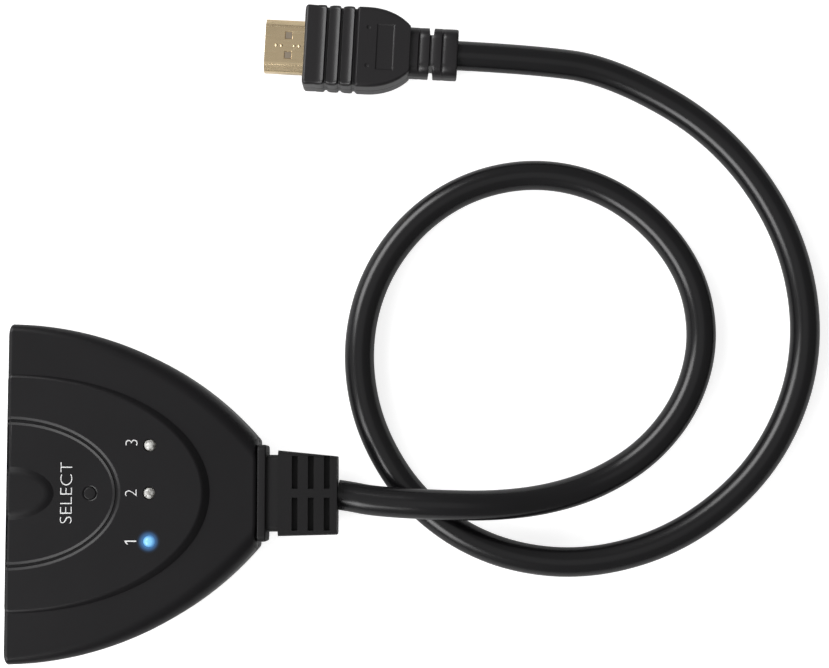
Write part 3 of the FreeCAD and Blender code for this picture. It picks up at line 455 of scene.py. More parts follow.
def roll_shoulders(piece):
    """Rounds the upper edge of both flanks, with a radius that grows from the back to the tip."""
    weights = piece.data.attributes.new("bevel_weight_edge", "FLOAT", "EDGE")
    for edge in piece.data.edges:
        ends = [piece.data.vertices[index].co for index in edge.vertices]
        on_top = all(abs(end.z - band_height(end)) < NEAR for end in ends)
        at_tip = all(end.x > TIP + SPARE - NEAR for end in ends)
        at_back = all(end.x < BACK - SPARE + NEAR for end in ends)
        if on_top and not at_tip and not at_back:
            place = max(0, sum(end.x for end in ends) / 2 - BACK)
            radius = SHOULDER_BACK + (SHOULDER_TIP - SHOULDER_BACK) * min(1, place / (TIP - BACK))
            slant = math.sqrt(1 - (place / FLANK_RADIUS) ** 2)
            weights.data[edge.index].value = radius / SHOULDER_TIP * slant
    modify(piece, "BEVEL", limit_method="WEIGHT", width=SHOULDER_TIP, segments=SHOULDER_STEPS,
           use_clamp_overlap=False)


# The blank, whose top falls toward the tip. It is too long at first, so that its rounds run out past its ends
top = lens(FLANK_RADIUS, SEAM, BLANK_TOP)
divide(top, (TIP + SPARE, 0, 0), (1, 0, 0), cut_off=True)
divide(top, (BACK - SPARE, 0, 0), (-1, 0, 0), cut_off=True)
divide(top, (BACK, 0, BAND_BACK), (BAND_FALL, 0, 1), cut_off=True)
roll_shoulders(top)
divide(top, (TIP, 0, 0), (1, 0, 0), cut_off=True)

# The plateau, the dish with a groove and a bead along its rim, and the thumb tab
combine(top, mound(PLATEAU_FOOT, PLATEAU_EDGE, PLATEAU - PLATEAU_SINK, PLATEAU), "UNION")
combine(top, cone(*RIM_FOOT, RIM_EDGE, PLATEAU, PAST), "DIFFERENCE")
combine(top, cone(GROOVE_OUTSIDE, DISH, *RIM_FOOT, OVERLAP), "DIFFERENCE")
bead = cone(BEAD_OUTSIDE, DISH - DISH_SINK, *BEAD_CREST, 0)
combine(bead, cone(BEAD_INSIDE, DISH - NEAR, BEAD_CREST[0] - OVERLAP, BEAD_CREST[1], PAST), "DIFFERENCE")
combine(top, bead, "UNION")
combine(top, mound(TAB_FOOT, TAB_EDGE, DISH - DISH_SINK, PLATEAU), "UNION")

# The rounds of their edges and of both ends
bevel(top, lambda spot: on_oval(spot, PLATEAU_EDGE, PLATEAU), PLATEAU_ROUND, 6)
bevel(top, lambda spot: on_oval(spot, (RIM_EDGE, RIM_EDGE - DISH_NARROWING), PLATEAU), RIM_ROUND)
bevel(top, lambda spot: on_oval(spot, TAB_EDGE, PLATEAU), TAB_ROUND, 5)
divide(top, (BACK, 0, 0), (-1, 0, 0), cut_off=True)
round_end(top, BACK, 1, BACK_ROUND, (HALF_WIDTH, PLATEAU - SEAM))
round_end(top, TIP, -1, TIP_ROUND, (TIP_HALF_WIDTH, BAND_TIP - SEAM))

# The hollow under the roof
hollow = lens(FLANK_RADIUS - WALL, SEAM - PAST, BLANK_TOP)
divide(hollow, (TIP - WALL, 0, 0), (1, 0, 0), cut_off=True)
divide(hollow, (BACK + WALL, 0, 0), (-1, 0, 0), cut_off=True)
divide(hollow, (BACK, 0, BAND_BACK - ROOF), (BAND_FALL, 0, 1), cut_off=True)
bevel(hollow, lambda spot: spot.z > SEAM, ROOF_ROUND)
combine(top, hollow, "DIFFERENCE")

# The openings for the sockets and the lamps, and the button's well with its flared mouth
for row in (-1, 0, 1):
    middle = row * SOCKET_PITCH
    opening = block((BACK - PAST, middle - OPENING_HALF, OPENING_LOW),
                    (BACK + OPENING_DEPTH, middle + OPENING_HALF, OPENING_TOP))
    combine(top, opening, "DIFFERENCE")
    combine(top, drum(LAMP_HOLE, LAMP_ROW, row * LAMP_PITCH, UNDER_ROOF, BLANK_TOP), "DIFFERENCE")
combine(top, drum(WELL_RADIUS, BUTTON, 0, UNDER_ROOF, BLANK_TOP), "DIFFERENCE")
flare = drum(WELL_RADIUS, BUTTON, 0, DISH - WELL_FLARE, DISH + WELL_FLARE)
pick(flare, "VERT", lambda spot: spot.z > DISH)
widest = 2 * WELL_MOUTH / WELL_RADIUS - 1
bpy.ops.transform.resize(value=(widest, widest, 1), center_override=(BUTTON, 0, DISH))
rest()
combine(top, flare, "DIFFERENCE")

# The dish's floor is shaded flat up to its border
pick(top, "FACE", lambda spot: abs(spot.z - DISH) < NEAR)
bpy.ops.mesh.region_to_loop()
bpy.ops.mesh.mark_sharp()
rest()

# The plastic, with the first lamp's blue light painted on it as a glow in its emission colour, fading with
# distance from the lamp
case_plastic = moulded("satin black plastic", (0.0058, 0.0053, 0.0062), roughness=0.38, grain=0.25 * MM,
                       relief=0.002 * MM, gloss=0.31)
off_lamp = distance(case_plastic, (LAMP_ROW, -LAMP_PITCH, PLATEAU))
painted_spill = graded(case_plastic, off_lamp / SPILL_REACH, SPILL_STOPS)
case_plastic.surface(Emission_Color=shades(case_plastic, painted_spill, (0, 0, 0), SPILL_BLUE), Emission_Strength=1.0)
fit(top, "cover", case_plastic, ["top_shell"], crease=18)


# The print
# White lettering printed on the cover: the number of each input beside its lamp, and the button's name
# in the dish. All of it reads from the lead's right.

INK = 0.02 * MM
LETTER_HEIGHT = 2.92 * MM
LETTER_DEPTH = 0.02
STROKE_OFFSET = -0.022
NUMBER_ROW = 0.05 * MM
NUMBER_PLACES = (-12.15 * MM, 0.05 * MM, 12.5 * MM)
WORD_PLACE = (-16.2 * MM, 0.1 * MM)
WORD_LENGTH = 15.25 * MM
ONE_OUTLINE = ((0.3, 0), (0.41, 0), (0.41, 1), (0.32, 1), (0.08, 0.8), (0.08, 0.69), (0.3, 0.85))


def set_down(letters, x, y, surface, length=None):
    """Turns flat letters a quarter to the left and centres them on a spot of the cover."""
    take(letters)
    spots = [vertex.co for vertex in letters.data.vertices]
    left, right = min(spot.x for spot in spots), max(spot.x for spot in spots)
    foot, head = min(spot.y for spot in spots), max(spot.y for spot in spots)
    up = LETTER_HEIGHT / (head - foot)
    along = length / (right - left) if length else up
    middle = Matrix.Translation((-(left + right) / 2, -(foot + head) / 2, 0))
    size = Matrix.Diagonal((along, up, INK / LETTER_DEPTH, 1))
    turn = Matrix.Rotation(math.pi / 2, 4, "Z")
    letters.data.transform(Matrix.Translation((x, y, surface + INK / 2)) @ turn @ size @ middle)
    return letters


def lettering(words, x, y, surface, length=None):
    """Words in the built-in letters, with their strokes thinned."""
    rest()
    bpy.ops.object.text_add()
    text = bpy.context.object
    text.data.body = words
    text.data.offset = STROKE_OFFSET
    text.data.extrude = LETTER_DEPTH / 2
    bpy.ops.object.convert(target="MESH")
    return set_down(bpy.context.object, x, y, surface, length)


def upright_one(x, y, surface):
    """The numeral one with its flag, drawn as an outline because the built-in letters have a plain bar."""
    rest()
    mesh = bpy.data.meshes.new("one")
    mesh.from_pydata([(across, up, -LETTER_DEPTH / 2) for across, up in ONE_OUTLINE], [],
                     [range(len(ONE_OUTLINE))])
    one = bpy.data.objects.new("one", mesh)
    bpy.context.collection.objects.link(one)
    pick(one, "FACE", lambda spot: True)
    bpy.ops.mesh.extrude_region_move(TRANSFORM_OT_translate={"value": (0, 0, LETTER_DEPTH)})
    bpy.ops.mesh.select_all(action="SELECT")
    bpy.ops.mesh.normals_make_consistent(inside=False)
    return set_down(one, x, y, surface)


ink_white = moulded("white ink", (0.82, 0.82, 0.82), roughness=0.5, grain=0.2 * MM, relief=0.001 * MM)
fit(upright_one(NUMBER_ROW, NUMBER_PLACES[0], PLATEAU), "number_1", ink_white)
for number in (2, 3):
    numeral = lettering(str(number), NUMBER_ROW, NUMBER_PLACES[number - 1], PLATEAU)
    fit(numeral, f"number_{number}", ink_white)
fit(lettering("SELECT", *WORD_PLACE, DISH, WORD_LENGTH), "button_name", ink_white)


# The button
# A small moulded cap with a rounded top in the well of the dish. A collar under the roof stops it, and
# its stem reaches down to the switch.

CAP_RADIUS = 1.52 * MM
CAP_ROUND = (0.3 * MM, 0.2 * MM)
CAP_CROWN = 0.04 * MM
COLLAR = (14.95 * MM, 16.0 * MM)
COLLAR_RADIUS = 3 * MM


def turned(outline, x, y, steps=48):
    """A piece turned on a lathe: pairs of radius and height spun about an upright axis."""
    rest()
    mesh = bpy.data.meshes.new("turned")
    mesh.from_pydata([(x + radius, y, height) for radius, height in outline],
                     [(index, index + 1) for index in range(len(outline) - 1)], [])
    piece = bpy.data.objects.new("turned", mesh)
    bpy.context.collection.objects.link(piece)
    take(piece)
    bpy.ops.object.mode_set(mode="EDIT")
    bpy.ops.mesh.select_all(action="SELECT")
    bpy.ops.mesh.spin(steps=steps, angle=2 * math.pi, center=(x, y, 0), axis=(0, 0, 1))
    bpy.ops.mesh.select_all(action="SELECT")
    bpy.ops.mesh.remove_doubles(threshold=VERY_NEAR)
    bpy.ops.mesh.normals_make_consistent(inside=False)
    rest()
    return piece


def bow(radius, height, centre_radius, centre_height, steps=8):
    """A quarter round from its widest point up to its top."""
    return [(centre_radius + radius * math.cos(turn), centre_height + height * math.sin(turn))
            for turn in quarter_turn(steps)]


stem_foot, cap_top = (corner.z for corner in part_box("select_button"))
cap_rim = bow(*CAP_ROUND, CAP_RADIUS - CAP_ROUND[0], cap_top - CAP_ROUND[1] - CAP_CROWN)
button = turned([(0, stem_foot), (CAP_RADIUS, stem_foot), (CAP_RADIUS, COLLAR[0]), (COLLAR_RADIUS, COLLAR[0]),
                 (COLLAR_RADIUS, COLLAR[1]), (CAP_RADIUS, COLLAR[1]), *cap_rim, (0, cap_top)], BUTTON, 0)
button_plastic = moulded("button plastic", (0.006, 0.0055, 0.0062), roughness=0.38, grain=0.2 * MM,
                         relief=0.003 * MM, gloss=0.34)
fit(button, "button_cap", button_plastic, ["select_button"], "button")


# The lamps
# Three light-emitting diodes 3 mm across in clear resin. Each has a flange on the board's side, and a
# bright cup on a post inside. The first one is lit and shines blue.

LAMP_RADIUS = 1.5 * MM
LAMP_FOOT = 14.1 * MM
LAMP_TOP = 19.4 * MM
LAMP_FLANGE = (1.9 * MM, 14.9 * MM)
CUP_OUTLINE = ((0, 14.6), (0.5, 14.6), (0.6, 16.4), (1.15, 17.5), (1.15, 17.7), (0.45, 17.1), (0, 17.1))
RESIN_PATCH = 0.7 * MM
SILVER_PATCH = 0.4 * MM
GLOW_REACH = 1.9 * MM

dome = bow(LAMP_RADIUS, LAMP_RADIUS, 0, LAMP_TOP - LAMP_RADIUS, 12)
lens_outline = [(0, LAMP_FOOT), (LAMP_FLANGE[0], LAMP_FOOT), LAMP_FLANGE,
                (LAMP_RADIUS, LAMP_FLANGE[1]), *dome]
cup_outline = [(radius * MM, height * MM) for radius, height in CUP_OUTLINE]

resin = principled("clear resin", IOR=1.5)
cloud = graded(resin, noise(resin, RESIN_PATCH), ((0.38, 0), (0.56, 1)))
resin.surface(Base_Color=shades(resin, cloud, (0.3, 0.29, 0.27), (1, 1, 0.97)), Roughness=0.1,
              Transmission_Weight=0.35)
glow = principled("lit resin", Emission_Strength=1.0)
off_axis = distance(glow, (LAMP_ROW, -LAMP_PITCH, LAMP_TOP))
rim = graded(glow, off_axis / GLOW_REACH, ((0.45, 0), (1.0, 1)))
glow.surface(Base_Color=shades(glow, rim, (0.1, 0.25, 0.4), (0.02, 0.06, 0.15)), Roughness=0.35,
             Emission_Color=shades(glow, rim, (0.2, 0.5, 0.78), (0.07, 0.2, 0.42)))
silver = principled("silver plate", Metallic=1.0)
dull = noise(silver, SILVER_PATCH)
silver.surface(Base_Color=shades(silver, dull, (0.72, 0.68, 0.62), (0.93, 0.9, 0.86)),
               Roughness=0.25 + 0.2 * dull)
for row in (-1, 0, 1):
    number = row + 2
    resin_piece = turned(lens_outline, LAMP_ROW, row * LAMP_PITCH)
    fit(resin_piece, f"lamp_{number}", glow if number == 1 else resin,
        [f"indicator_{number}"])
    fit(turned(cup_outline, LAMP_ROW, row * LAMP_PITCH, 24), f"lamp_{number}_cup", silver)


# The bottom shell and its screws
# The tray under the seam, moulded in the same plastic as the cover. Four screws from below hold both
# shells together.

METAL_PATCH = 6 * MM
METAL_SHADES = (0.88, 1.06)
SCRATCH_DEPTH = 0.0008 * MM
SCRATCH_GLOSS = 0.12
SCRATCH_STRETCH = (0.12, 1, 1)


def dress(finish, *nodes):
    """Gives solids of the frame their finish."""
    for node in nodes:
        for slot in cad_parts[node].material_slots:
            slot.material = finish.owner


def metal(name, colour, roughness, wear=0.5 * MM):
    """Plated or bare metal: fine scratches in its gloss, and slow changes of shade."""
    finish = principled(name, Metallic=1.0)
    slow = noise(finish, METAL_PATCH, 3)
    place = finish.node("TexCoord", output="Object")
    drawn = finish.node("Mapping", inputs={"Vector": place, "Scale": SCRATCH_STRETCH})
    fine = finish.node("TexNoise", inputs={"Vector": drawn, "Scale": 1 / wear, "Detail": 4})
    raised = finish.node("Bump", inputs={"Height": fine, "Distance": SCRATCH_DEPTH, "Strength": 1.0})
    darker, lighter = [tint(colour, share) for share in METAL_SHADES]
    finish.surface(Base_Color=shades(finish, slow, darker, lighter), Normal=raised,
                   Roughness=roughness + SCRATCH_GLOSS * (fine - 0.5))
    return finish


dress(case_plastic, "bottom_shell")
screw_steel = metal("zinc plated steel", (0.6, 0.6, 0.58), roughness=0.3)
dress(screw_steel, "case_screws")


# The sockets
# Three inputs in the back: a folded nickel shell on the board, a black tongue in it, and two rows of
# gold contacts on the tongue.

socket_nickel = metal("nickel plate", (0.66, 0.64, 0.6), roughness=0.24)
contact_gold = metal("contact gold", (0.85, 0.62, 0.3), roughness=0.28)
insulator_nylon = moulded("black nylon", (0.012, 0.012, 0.013), roughness=0.5, grain=0.15 * MM,
                          relief=0.003 * MM, gloss=0.45)
for number in (1, 2, 3):
    dress(socket_nickel, f"input_{number}_shell")
    dress(insulator_nylon, f"input_{number}_insulator")
    dress(contact_gold, f"input_{number}_contacts")


# The board and what is soldered to it
# A green glass fibre board with the switching chip, its control chip and regulator, the push switch under
# the button, the lamps' legs, and small capacitors and resistors.

laminate = moulded("green board", (0.012, 0.13, 0.05), roughness=0.35, grain=0.4 * MM, relief=0.006 * MM)
dress(laminate, "main_board")
chip_epoxy = moulded("chip epoxy", (0.012, 0.012, 0.013), roughness=0.55, grain=0.12 * MM,
                     relief=0.004 * MM, gloss=0.4)
dress(chip_epoxy, "switching_chip", "control_chip", "regulator", "switch_housing")
pin_tin = metal("tinned copper", (0.72, 0.71, 0.68), roughness=0.32)
dress(pin_tin, "switching_chip_pins", "control_chip_pins", "regulator_pins", "indicator_legs",
      "switch_terminals")
capacitor_brown = moulded("capacitor ceramic", (0.32, 0.2, 0.11), roughness=0.5, grain=0.2 * MM,
                          relief=0.004 * MM)
dress(capacitor_brown, "chip_capacitors")
resistor_black = moulded("resistor ceramic", (0.03, 0.03, 0.035), roughness=0.4, grain=0.2 * MM,
                         relief=0.004 * MM)
dress(resistor_black, "chip_resistors")
spring_steel = metal("spring steel", (0.55, 0.54, 0.52), roughness=0.22)
dress(spring_steel, "switch_cover", "switch_dome")
dress(button_plastic, "switch_plunger")


# The lead's inner end
# The jacket goes through the boot into the case, where a brass ring crimped on it holds it, and the
# coloured conductors fan out to the board.

jacket_vinyl = moulded("lead vinyl", (0.0072, 0.0069, 0.0076), roughness=0.24, grain=0.5 * MM,
                       relief=0.004 * MM, gloss=0.42)
wire_vinyl = moulded("wire insulation", (0.35, 0.33, 0.3), roughness=0.4, grain=0.3 * MM, relief=0.004 * MM)
dress(wire_vinyl, "conductors")
dress(contact_gold, "crimp_ring")
dress(jacket_vinyl, "lead_inner", "lead_in_plug")


# The boot
# The strain relief at the case's tip, moulded in soft vinyl on the lead: a flange and a neck in the case's
# opening, and a block that grooves make supple, with a spine left along its middle.

BOOT_HEIGHT = 10 * MM
BOOT_ROUND = 1.6 * MM
BOOT_EDGE = 0.35 * MM
FLANGE = (31.1 * MM, 33.3 * MM)
FLANGE_HALF = (12.1 * MM, 6.7 * MM)
FLANGE_EDGE = 0.4 * MM
BLOCK = (36.3 * MM, 51 * MM)
BLOCK_NEAR = (10.7 * MM, 6.7 * MM)
BLOCK_FAR = (9.8 * MM, 6 * MM)
BOOT_DROOP = 0.55 * MM
NECK = (27.1 * MM, 36.8 * MM)
NECK_HALF = (9.6 * MM, 5.7 * MM)
BOOT_GROOVES = (40.5 * MM, 44.5 * MM, 48.5 * MM)
BOOT_GROOVE_HALF = 0.72 * MM
BOOT_GROOVE_DEPTH = 2 * MM
BOOT_GROOVE_REACH = 9.3 * MM
SPINE_HALF = 1.1 * MM
CUTTER = 8 * MM
LONG_CUTTER = 12 * MM


def pick_lengthwise(piece):
    """Selects in edit mode the edges that run along X."""
    pick(piece, "EDGE", lambda spot: True)
    shape = bmesh.from_edit_mesh(piece.data)
    for edge in shape.edges:
        edge.select_set(abs(edge.verts[0].co.x - edge.verts[1].co.x) > NEAR)
    bmesh.update_edit_mesh(piece.data)


def soften(piece, radius, segments=3, angle=50):
    """Rounds every edge that turns by more than the angle."""
    modify(piece, "BEVEL", limit_method="ANGLE", angle_limit=math.radians(angle), width=radius,
           segments=segments)


def bar(ends, half, rounding=0, far_half=None, droop=0):
    """A bar along X at the lead's height with rounded long edges. It may taper, and bend to one side."""
    (start, end), (across, up) = ends, half
    piece = block((start, -across, BOOT_HEIGHT - up), (end, across, BOOT_HEIGHT + up))
    if rounding:
        pick_lengthwise(piece)
        bpy.ops.mesh.bevel(offset=rounding, segments=6, affect="EDGES")
    if far_half:
        pick(piece, "VERT", lambda spot: abs(spot.x - end) < NEAR)
        bpy.ops.transform.resize(value=(1, far_half[0] / across, far_half[1] / up),
                                 center_override=(end, 0, BOOT_HEIGHT))
        bpy.ops.transform.translate(value=(0, -droop, 0))
    rest()
    return piece


boot = bar(BLOCK, BLOCK_NEAR, BOOT_ROUND, BLOCK_FAR, BOOT_DROOP)
for middle in BOOT_GROOVES:
    ends = (middle - BOOT_GROOVE_HALF, middle + BOOT_GROOVE_HALF)
    longer = (ends[0] - PAST, ends[1] + PAST)
    share = (middle - BLOCK[0]) / (BLOCK[1] - BLOCK[0])
    core = BLOCK_NEAR[1] + (BLOCK_FAR[1] - BLOCK_NEAR[1]) * share - BOOT_GROOVE_DEPTH
    groove = bar(ends, (BOOT_GROOVE_REACH, CUTTER))
    combine(groove, bar(longer, (LONG_CUTTER, core)), "DIFFERENCE")
    combine(groove, bar(longer, (SPINE_HALF, LONG_CUTTER)), "DIFFERENCE")
    combine(boot, groove, "DIFFERENCE")
soften(boot, BOOT_EDGE)
combine(boot, bar(NECK, NECK_HALF, BOOT_ROUND), "UNION")
flange = bar(FLANGE, FLANGE_HALF, BOOT_ROUND)
soften(flange, FLANGE_EDGE)
combine(boot, flange, "UNION")
boot_vinyl = moulded("boot vinyl", (0.0075, 0.007, 0.0076), roughness=0.5, grain=0.35 * MM,
                     relief=0.008 * MM, gloss=0.29)
fit(boot, "boot", boot_vinyl, ["cable_boot"])


# The plug's sleeve
# Gold plated sheet folded to the plug's profile. Two windows in its narrower face show the springs behind
# them, in a darker copy of the gold whose darkness is painted shade, and a row of small pips runs between the
# windows.

PLUG_TAIL = (81.6 * MM, 113.2 * MM, 5.7 * MM)
PLUG_TURN = 177

# The sleeve, with its profile's cut corners
SLEEVE_SIDE = 6.95 * MM
SLEEVE_FACE = 2.225 * MM
SLEEVE_CORNER = (1.95 * MM, 1.6 * MM)
SLEEVE_FOLD = 0.45 * MM
SLEEVE_SHEET = 0.3 * MM
SLEEVE_BACK = 33 * MM
SLEEVE_FRONT = 50 * MM
SLEEVE_EDGE = 0.06 * MM

# The windows, the springs behind them and the pips, all in the narrower face
WINDOW = 43.9 * MM
WINDOW_HALF = 0.85 * MM
WINDOW_OFFSET = 2.6 * MM
WINDOW_FLOOR = SLEEVE_FACE - 0.22 * MM
WINDOW_MOUTH = 1.9
SPRING_BELOW = 0.02 * MM
SPRING_ABOVE = 0.05 * MM
SPRING_EDGE = 0.02 * MM
PIPS = (41.1 * MM, 42.4 * MM, 45.7 * MM, 47.0 * MM)
PIP_ASIDE = 0.15 * MM
PIP_RADIUS = 0.42 * MM
PIP_SINK = 0.22 * MM

plug_place = Matrix.Translation(PLUG_TAIL) @ Matrix.Rotation(math.radians(PLUG_TURN), 4, "Z")
sleeve = block((SLEEVE_BACK, -SLEEVE_SIDE, -SLEEVE_FACE), (SLEEVE_FRONT, SLEEVE_SIDE, SLEEVE_FACE))
for side in (-1, 1):
    divide(sleeve, (0, side * SLEEVE_SIDE, SLEEVE_FACE - SLEEVE_CORNER[1]),
           (0, side * SLEEVE_CORNER[1], SLEEVE_CORNER[0]), cut_off=True)
pick_lengthwise(sleeve)
bpy.ops.mesh.bevel(offset=SLEEVE_FOLD, segments=5, affect="EDGES")
for end in (SLEEVE_FRONT, SLEEVE_BACK):
    pick(sleeve, "FACE", lambda spot: abs(spot.x - end) < NEAR)
    bpy.ops.mesh.delete(type="FACE")
modify(sleeve, "SOLIDIFY", thickness=SLEEVE_SHEET, offset=-1)

springs = []
for middle in (-WINDOW_OFFSET, WINDOW_OFFSET):
    low = (WINDOW - WINDOW_HALF, middle - WINDOW_HALF)
    high = (WINDOW + WINDOW_HALF, middle + WINDOW_HALF)
    pocket = block((*low, WINDOW_FLOOR), (*high, SLEEVE_FACE + PAST))
    pick(pocket, "FACE", lambda spot: spot.z > SLEEVE_FACE)
    bpy.ops.transform.resize(value=(WINDOW_MOUTH, WINDOW_MOUTH, 1), center_override=(WINDOW, middle, 0))
    rest()
    combine(sleeve, pocket, "DIFFERENCE")
    springs.append(block((low[0] + NEAR, low[1] + NEAR, WINDOW_FLOOR - SPRING_BELOW),
                         (high[0] - NEAR, high[1] - NEAR, WINDOW_FLOOR + SPRING_ABOVE)))
springs = combine(*springs, "UNION")
soften(springs, SPRING_EDGE, 2)
springs.data.transform(plug_place)
# The springs are the sleeve's gold made darker and rougher; the darkness is painted shade in the pockets
shaded_spring_gold = metal("spring gold darkened as painted shade", (0.42, 0.35, 0.27), roughness=0.42, wear=0.3 * MM)
fit(springs, "plug_springs", shaded_spring_gold)

for place in PIPS:
    rest()
    bpy.ops.mesh.primitive_uv_sphere_add(segments=20, ring_count=10, radius=PIP_RADIUS,
                                         location=(place, PIP_ASIDE, SLEEVE_FACE - PIP_SINK))
    combine(sleeve, settle(bpy.context.object), "UNION")
soften(sleeve, SLEEVE_EDGE, 2)
sleeve.data.transform(plug_place)
sleeve_gold = metal("sleeve gold", (0.88, 0.7, 0.44), roughness=0.26, wear=0.8 * MM)
fit(sleeve, "plug_sleeve", sleeve_gold, ["plug_shell"])
dress(insulator_nylon, "plug_insulator")
dress(contact_gold, "plug_contacts")
core_plastic = moulded("core plastic", (0.5, 0.5, 0.48), roughness=0.5, grain=0.3 * MM, relief=0.004 * MM)
dress(core_plastic, "plug_core")


# The plug's housing
# A grip moulded in satin vinyl over the sleeve and the lead: three grooves with scooped ribs between them,
# a rounded back with a sunk panel, and a relief with grooves and side slots for the lead.

# The block, rounded at the front and in plan at the back
HOUSING_SIDE = 10.5 * MM
HOUSING_FACE = 5.7 * MM
HOUSING_ROUND = 1.1 * MM
HOUSING_EDGE = 0.12 * MM
HOUSING_FRONT = 39.8 * MM
FRONT_ROUND = 0.9 * MM
FRONT_STEPS = 5
PLAN_MIDDLE = 23.5 * MM
PLAN_BACK = 13.6 * MM
PLAN_START = 0.5 * MM
PLAN_END = 12.43 * MM
PLAN_STEPS = 22
BACK_INSET = 0.1 * MM
PART_LINE = 0.12 * MM

# The grooves and the scooped ribs
PLUG_GROOVES = (33.9 * MM, 30.3 * MM, 26.7 * MM)
PLUG_GROOVE_HALF = 0.42 * MM
PLUG_GROOVE_DEPTH = 0.85 * MM
FLOOR_SHARE = 0.55
SIDE_SHARE = 0.6
SCOOP = 0.5 * MM
SCOOP_LENGTH = 3 * MM
SCOOP_STEPS = 8
SIDE_BULGE = 0.25 * MM

# The relief, whose profile and end are pairs of place and depth
RELIEF_SIDE = 6.45 * MM
RELIEF_FACE = 4.7 * MM
RELIEF_ROUND = 3.4 * MM
RELIEF_START = 13 * MM
RELIEF_GROOVES = (9.8 * MM, 6.9 * MM, 3.8 * MM)
RELIEF_PROFILE = ((0.5 * MM, 0), (0.3 * MM, 0.4 * MM), (-0.15 * MM, 0.4 * MM), (-0.9 * MM, 0))
RELIEF_END = ((0.5 * MM, 0), (0.15 * MM, 0.12 * MM), (0, 0.4 * MM))
SLOT = 6.9 * MM
SLOT_ASIDE = 5.9 * MM
SLOT_HALF = (0.8 * MM, 1.8 * MM, 6 * MM)
SLOT_NARROWING = 0.55

# The panel and the dots
PANEL = (16.4 * MM, 21.2 * MM)
PANEL_SIDE = 6.1 * MM
PANEL_FLOOR = 5.35 * MM
PANEL_ROUND = 0.5 * MM
DOT = 23.3 * MM
DOT_ASIDE = 5 * MM
DOT_RADIUS = 0.5 * MM
DOT_DEPTH = 0.4 * MM


def loft(half, rounding, stations, seam=False):
    """A bar of rounded rectangles: each station is a place along it with the half width and height there."""
    rest()
    here, last = stations[0][0], half
    bpy.ops.mesh.primitive_plane_add(size=2, location=(here, 0, 0), rotation=(0, math.pi / 2, 0))
    piece = settle(bpy.context.object)
    piece.data.transform(Matrix.Diagonal((1, half[0], half[1], 1)))
    take(piece)
    bpy.ops.object.mode_set(mode="EDIT")
    bpy.ops.mesh.select_all(action="SELECT")
    bpy.ops.mesh.bevel(offset=rounding, segments=6, affect="VERTICES")
    if seam:
        for level in (-PART_LINE, 0, PART_LINE):
            bpy.ops.mesh.select_all(action="SELECT")
            bpy.ops.mesh.bisect(plane_co=(0, 0, level), plane_no=(0, 0, 1), threshold=SAME_SPOT)
        pick(piece, "VERT", lambda spot: abs(spot.z) < VERY_NEAR)
        bpy.ops.transform.resize(value=(1, 1 - PART_LINE / half[0], 1))
        bpy.ops.mesh.select_mode(type="FACE")
        bpy.ops.mesh.select_all(action="SELECT")
    for place, side, face in stations:
        if place != here:
            bpy.ops.mesh.extrude_region_move(TRANSFORM_OT_translate={"value": (place - here, 0, 0)})
        bpy.ops.transform.resize(value=(1, side / last[0], face / last[1]), center_override=(place, 0, 0))
        here, last = place, (side, face)
    bpy.ops.mesh.select_all(action="SELECT")
    bpy.ops.mesh.normals_make_consistent(inside=False)
    rest()
    return piece


def steps_between(first, last, count):
    return [first + (last - first) * step / count for step in range(count + 1)]


def housing_insets():
    """Places from the front to the back, each with how far the sides and the faces lie inside the block."""
    insets = []
    for turn in quarter_turn(FRONT_STEPS):
        inset = FRONT_ROUND * (1 - math.sin(turn))
        insets.append((HOUSING_FRONT - FRONT_ROUND * (1 - math.cos(turn)), inset, SCOOP + inset))
    crest = HOUSING_FRONT - FRONT_ROUND
    for groove in PLUG_GROOVES:
        start, end = min(crest, groove + SCOOP_LENGTH), groove + PLUG_GROOVE_HALF
        for share in steps_between(0, 1, SCOOP_STEPS)[1:]:
            bulge = SIDE_BULGE * (2 * share - 1) ** 4
            insets.append((start + (end - start) * share, bulge, SCOOP * (1 - share ** 3)))
        for place in (groove + PLUG_GROOVE_HALF * FLOOR_SHARE, groove - PLUG_GROOVE_HALF * FLOOR_SHARE):
            insets.append((place, PLUG_GROOVE_DEPTH * SIDE_SHARE, PLUG_GROOVE_DEPTH))
        crest = groove - PLUG_GROOVE_HALF
        insets.append((crest, SIDE_BULGE, SCOOP))
    insets += [(place, 0, BACK_INSET) for place in steps_between(crest - PLAN_START, PLAN_END, PLAN_STEPS)]
    return insets


def plan(place):
    """The share of the full width that the round back leaves at a place."""
    return 1 if place > PLAN_MIDDLE else math.sqrt(1 - ((PLAN_MIDDLE - place) / PLAN_BACK) ** 2)


housing_stations = [(place, HOUSING_SIDE * plan(place) - side_inset, HOUSING_FACE - face_inset)
                    for place, side_inset, face_inset in housing_insets()]
housing = loft((HOUSING_SIDE, HOUSING_FACE), HOUSING_ROUND, housing_stations, seam=True)

relief_stations = [(RELIEF_START, RELIEF_SIDE, RELIEF_FACE)]
for groove in RELIEF_GROOVES:
    relief_stations += [(groove + offset, RELIEF_SIDE, RELIEF_FACE - inset)
                        for offset, inset in RELIEF_PROFILE]
relief_stations += [(place, RELIEF_SIDE - inset, RELIEF_FACE - inset) for place, inset in RELIEF_END]
relief = loft((RELIEF_SIDE, RELIEF_FACE), RELIEF_ROUND, relief_stations)
along, across, up = SLOT_HALF
for middle in (-SLOT_ASIDE, SLOT_ASIDE):
    slot = block((SLOT - along, middle - across, -up), (SLOT + along, middle + across, up))
    pick(slot, "FACE", lambda spot: abs(spot.y) < SLOT_ASIDE)
    bpy.ops.transform.resize(value=(SLOT_NARROWING, 1, 1), center_override=(SLOT, 0, 0))
    combine(relief, slot, "DIFFERENCE")
combine(housing, relief, "UNION")

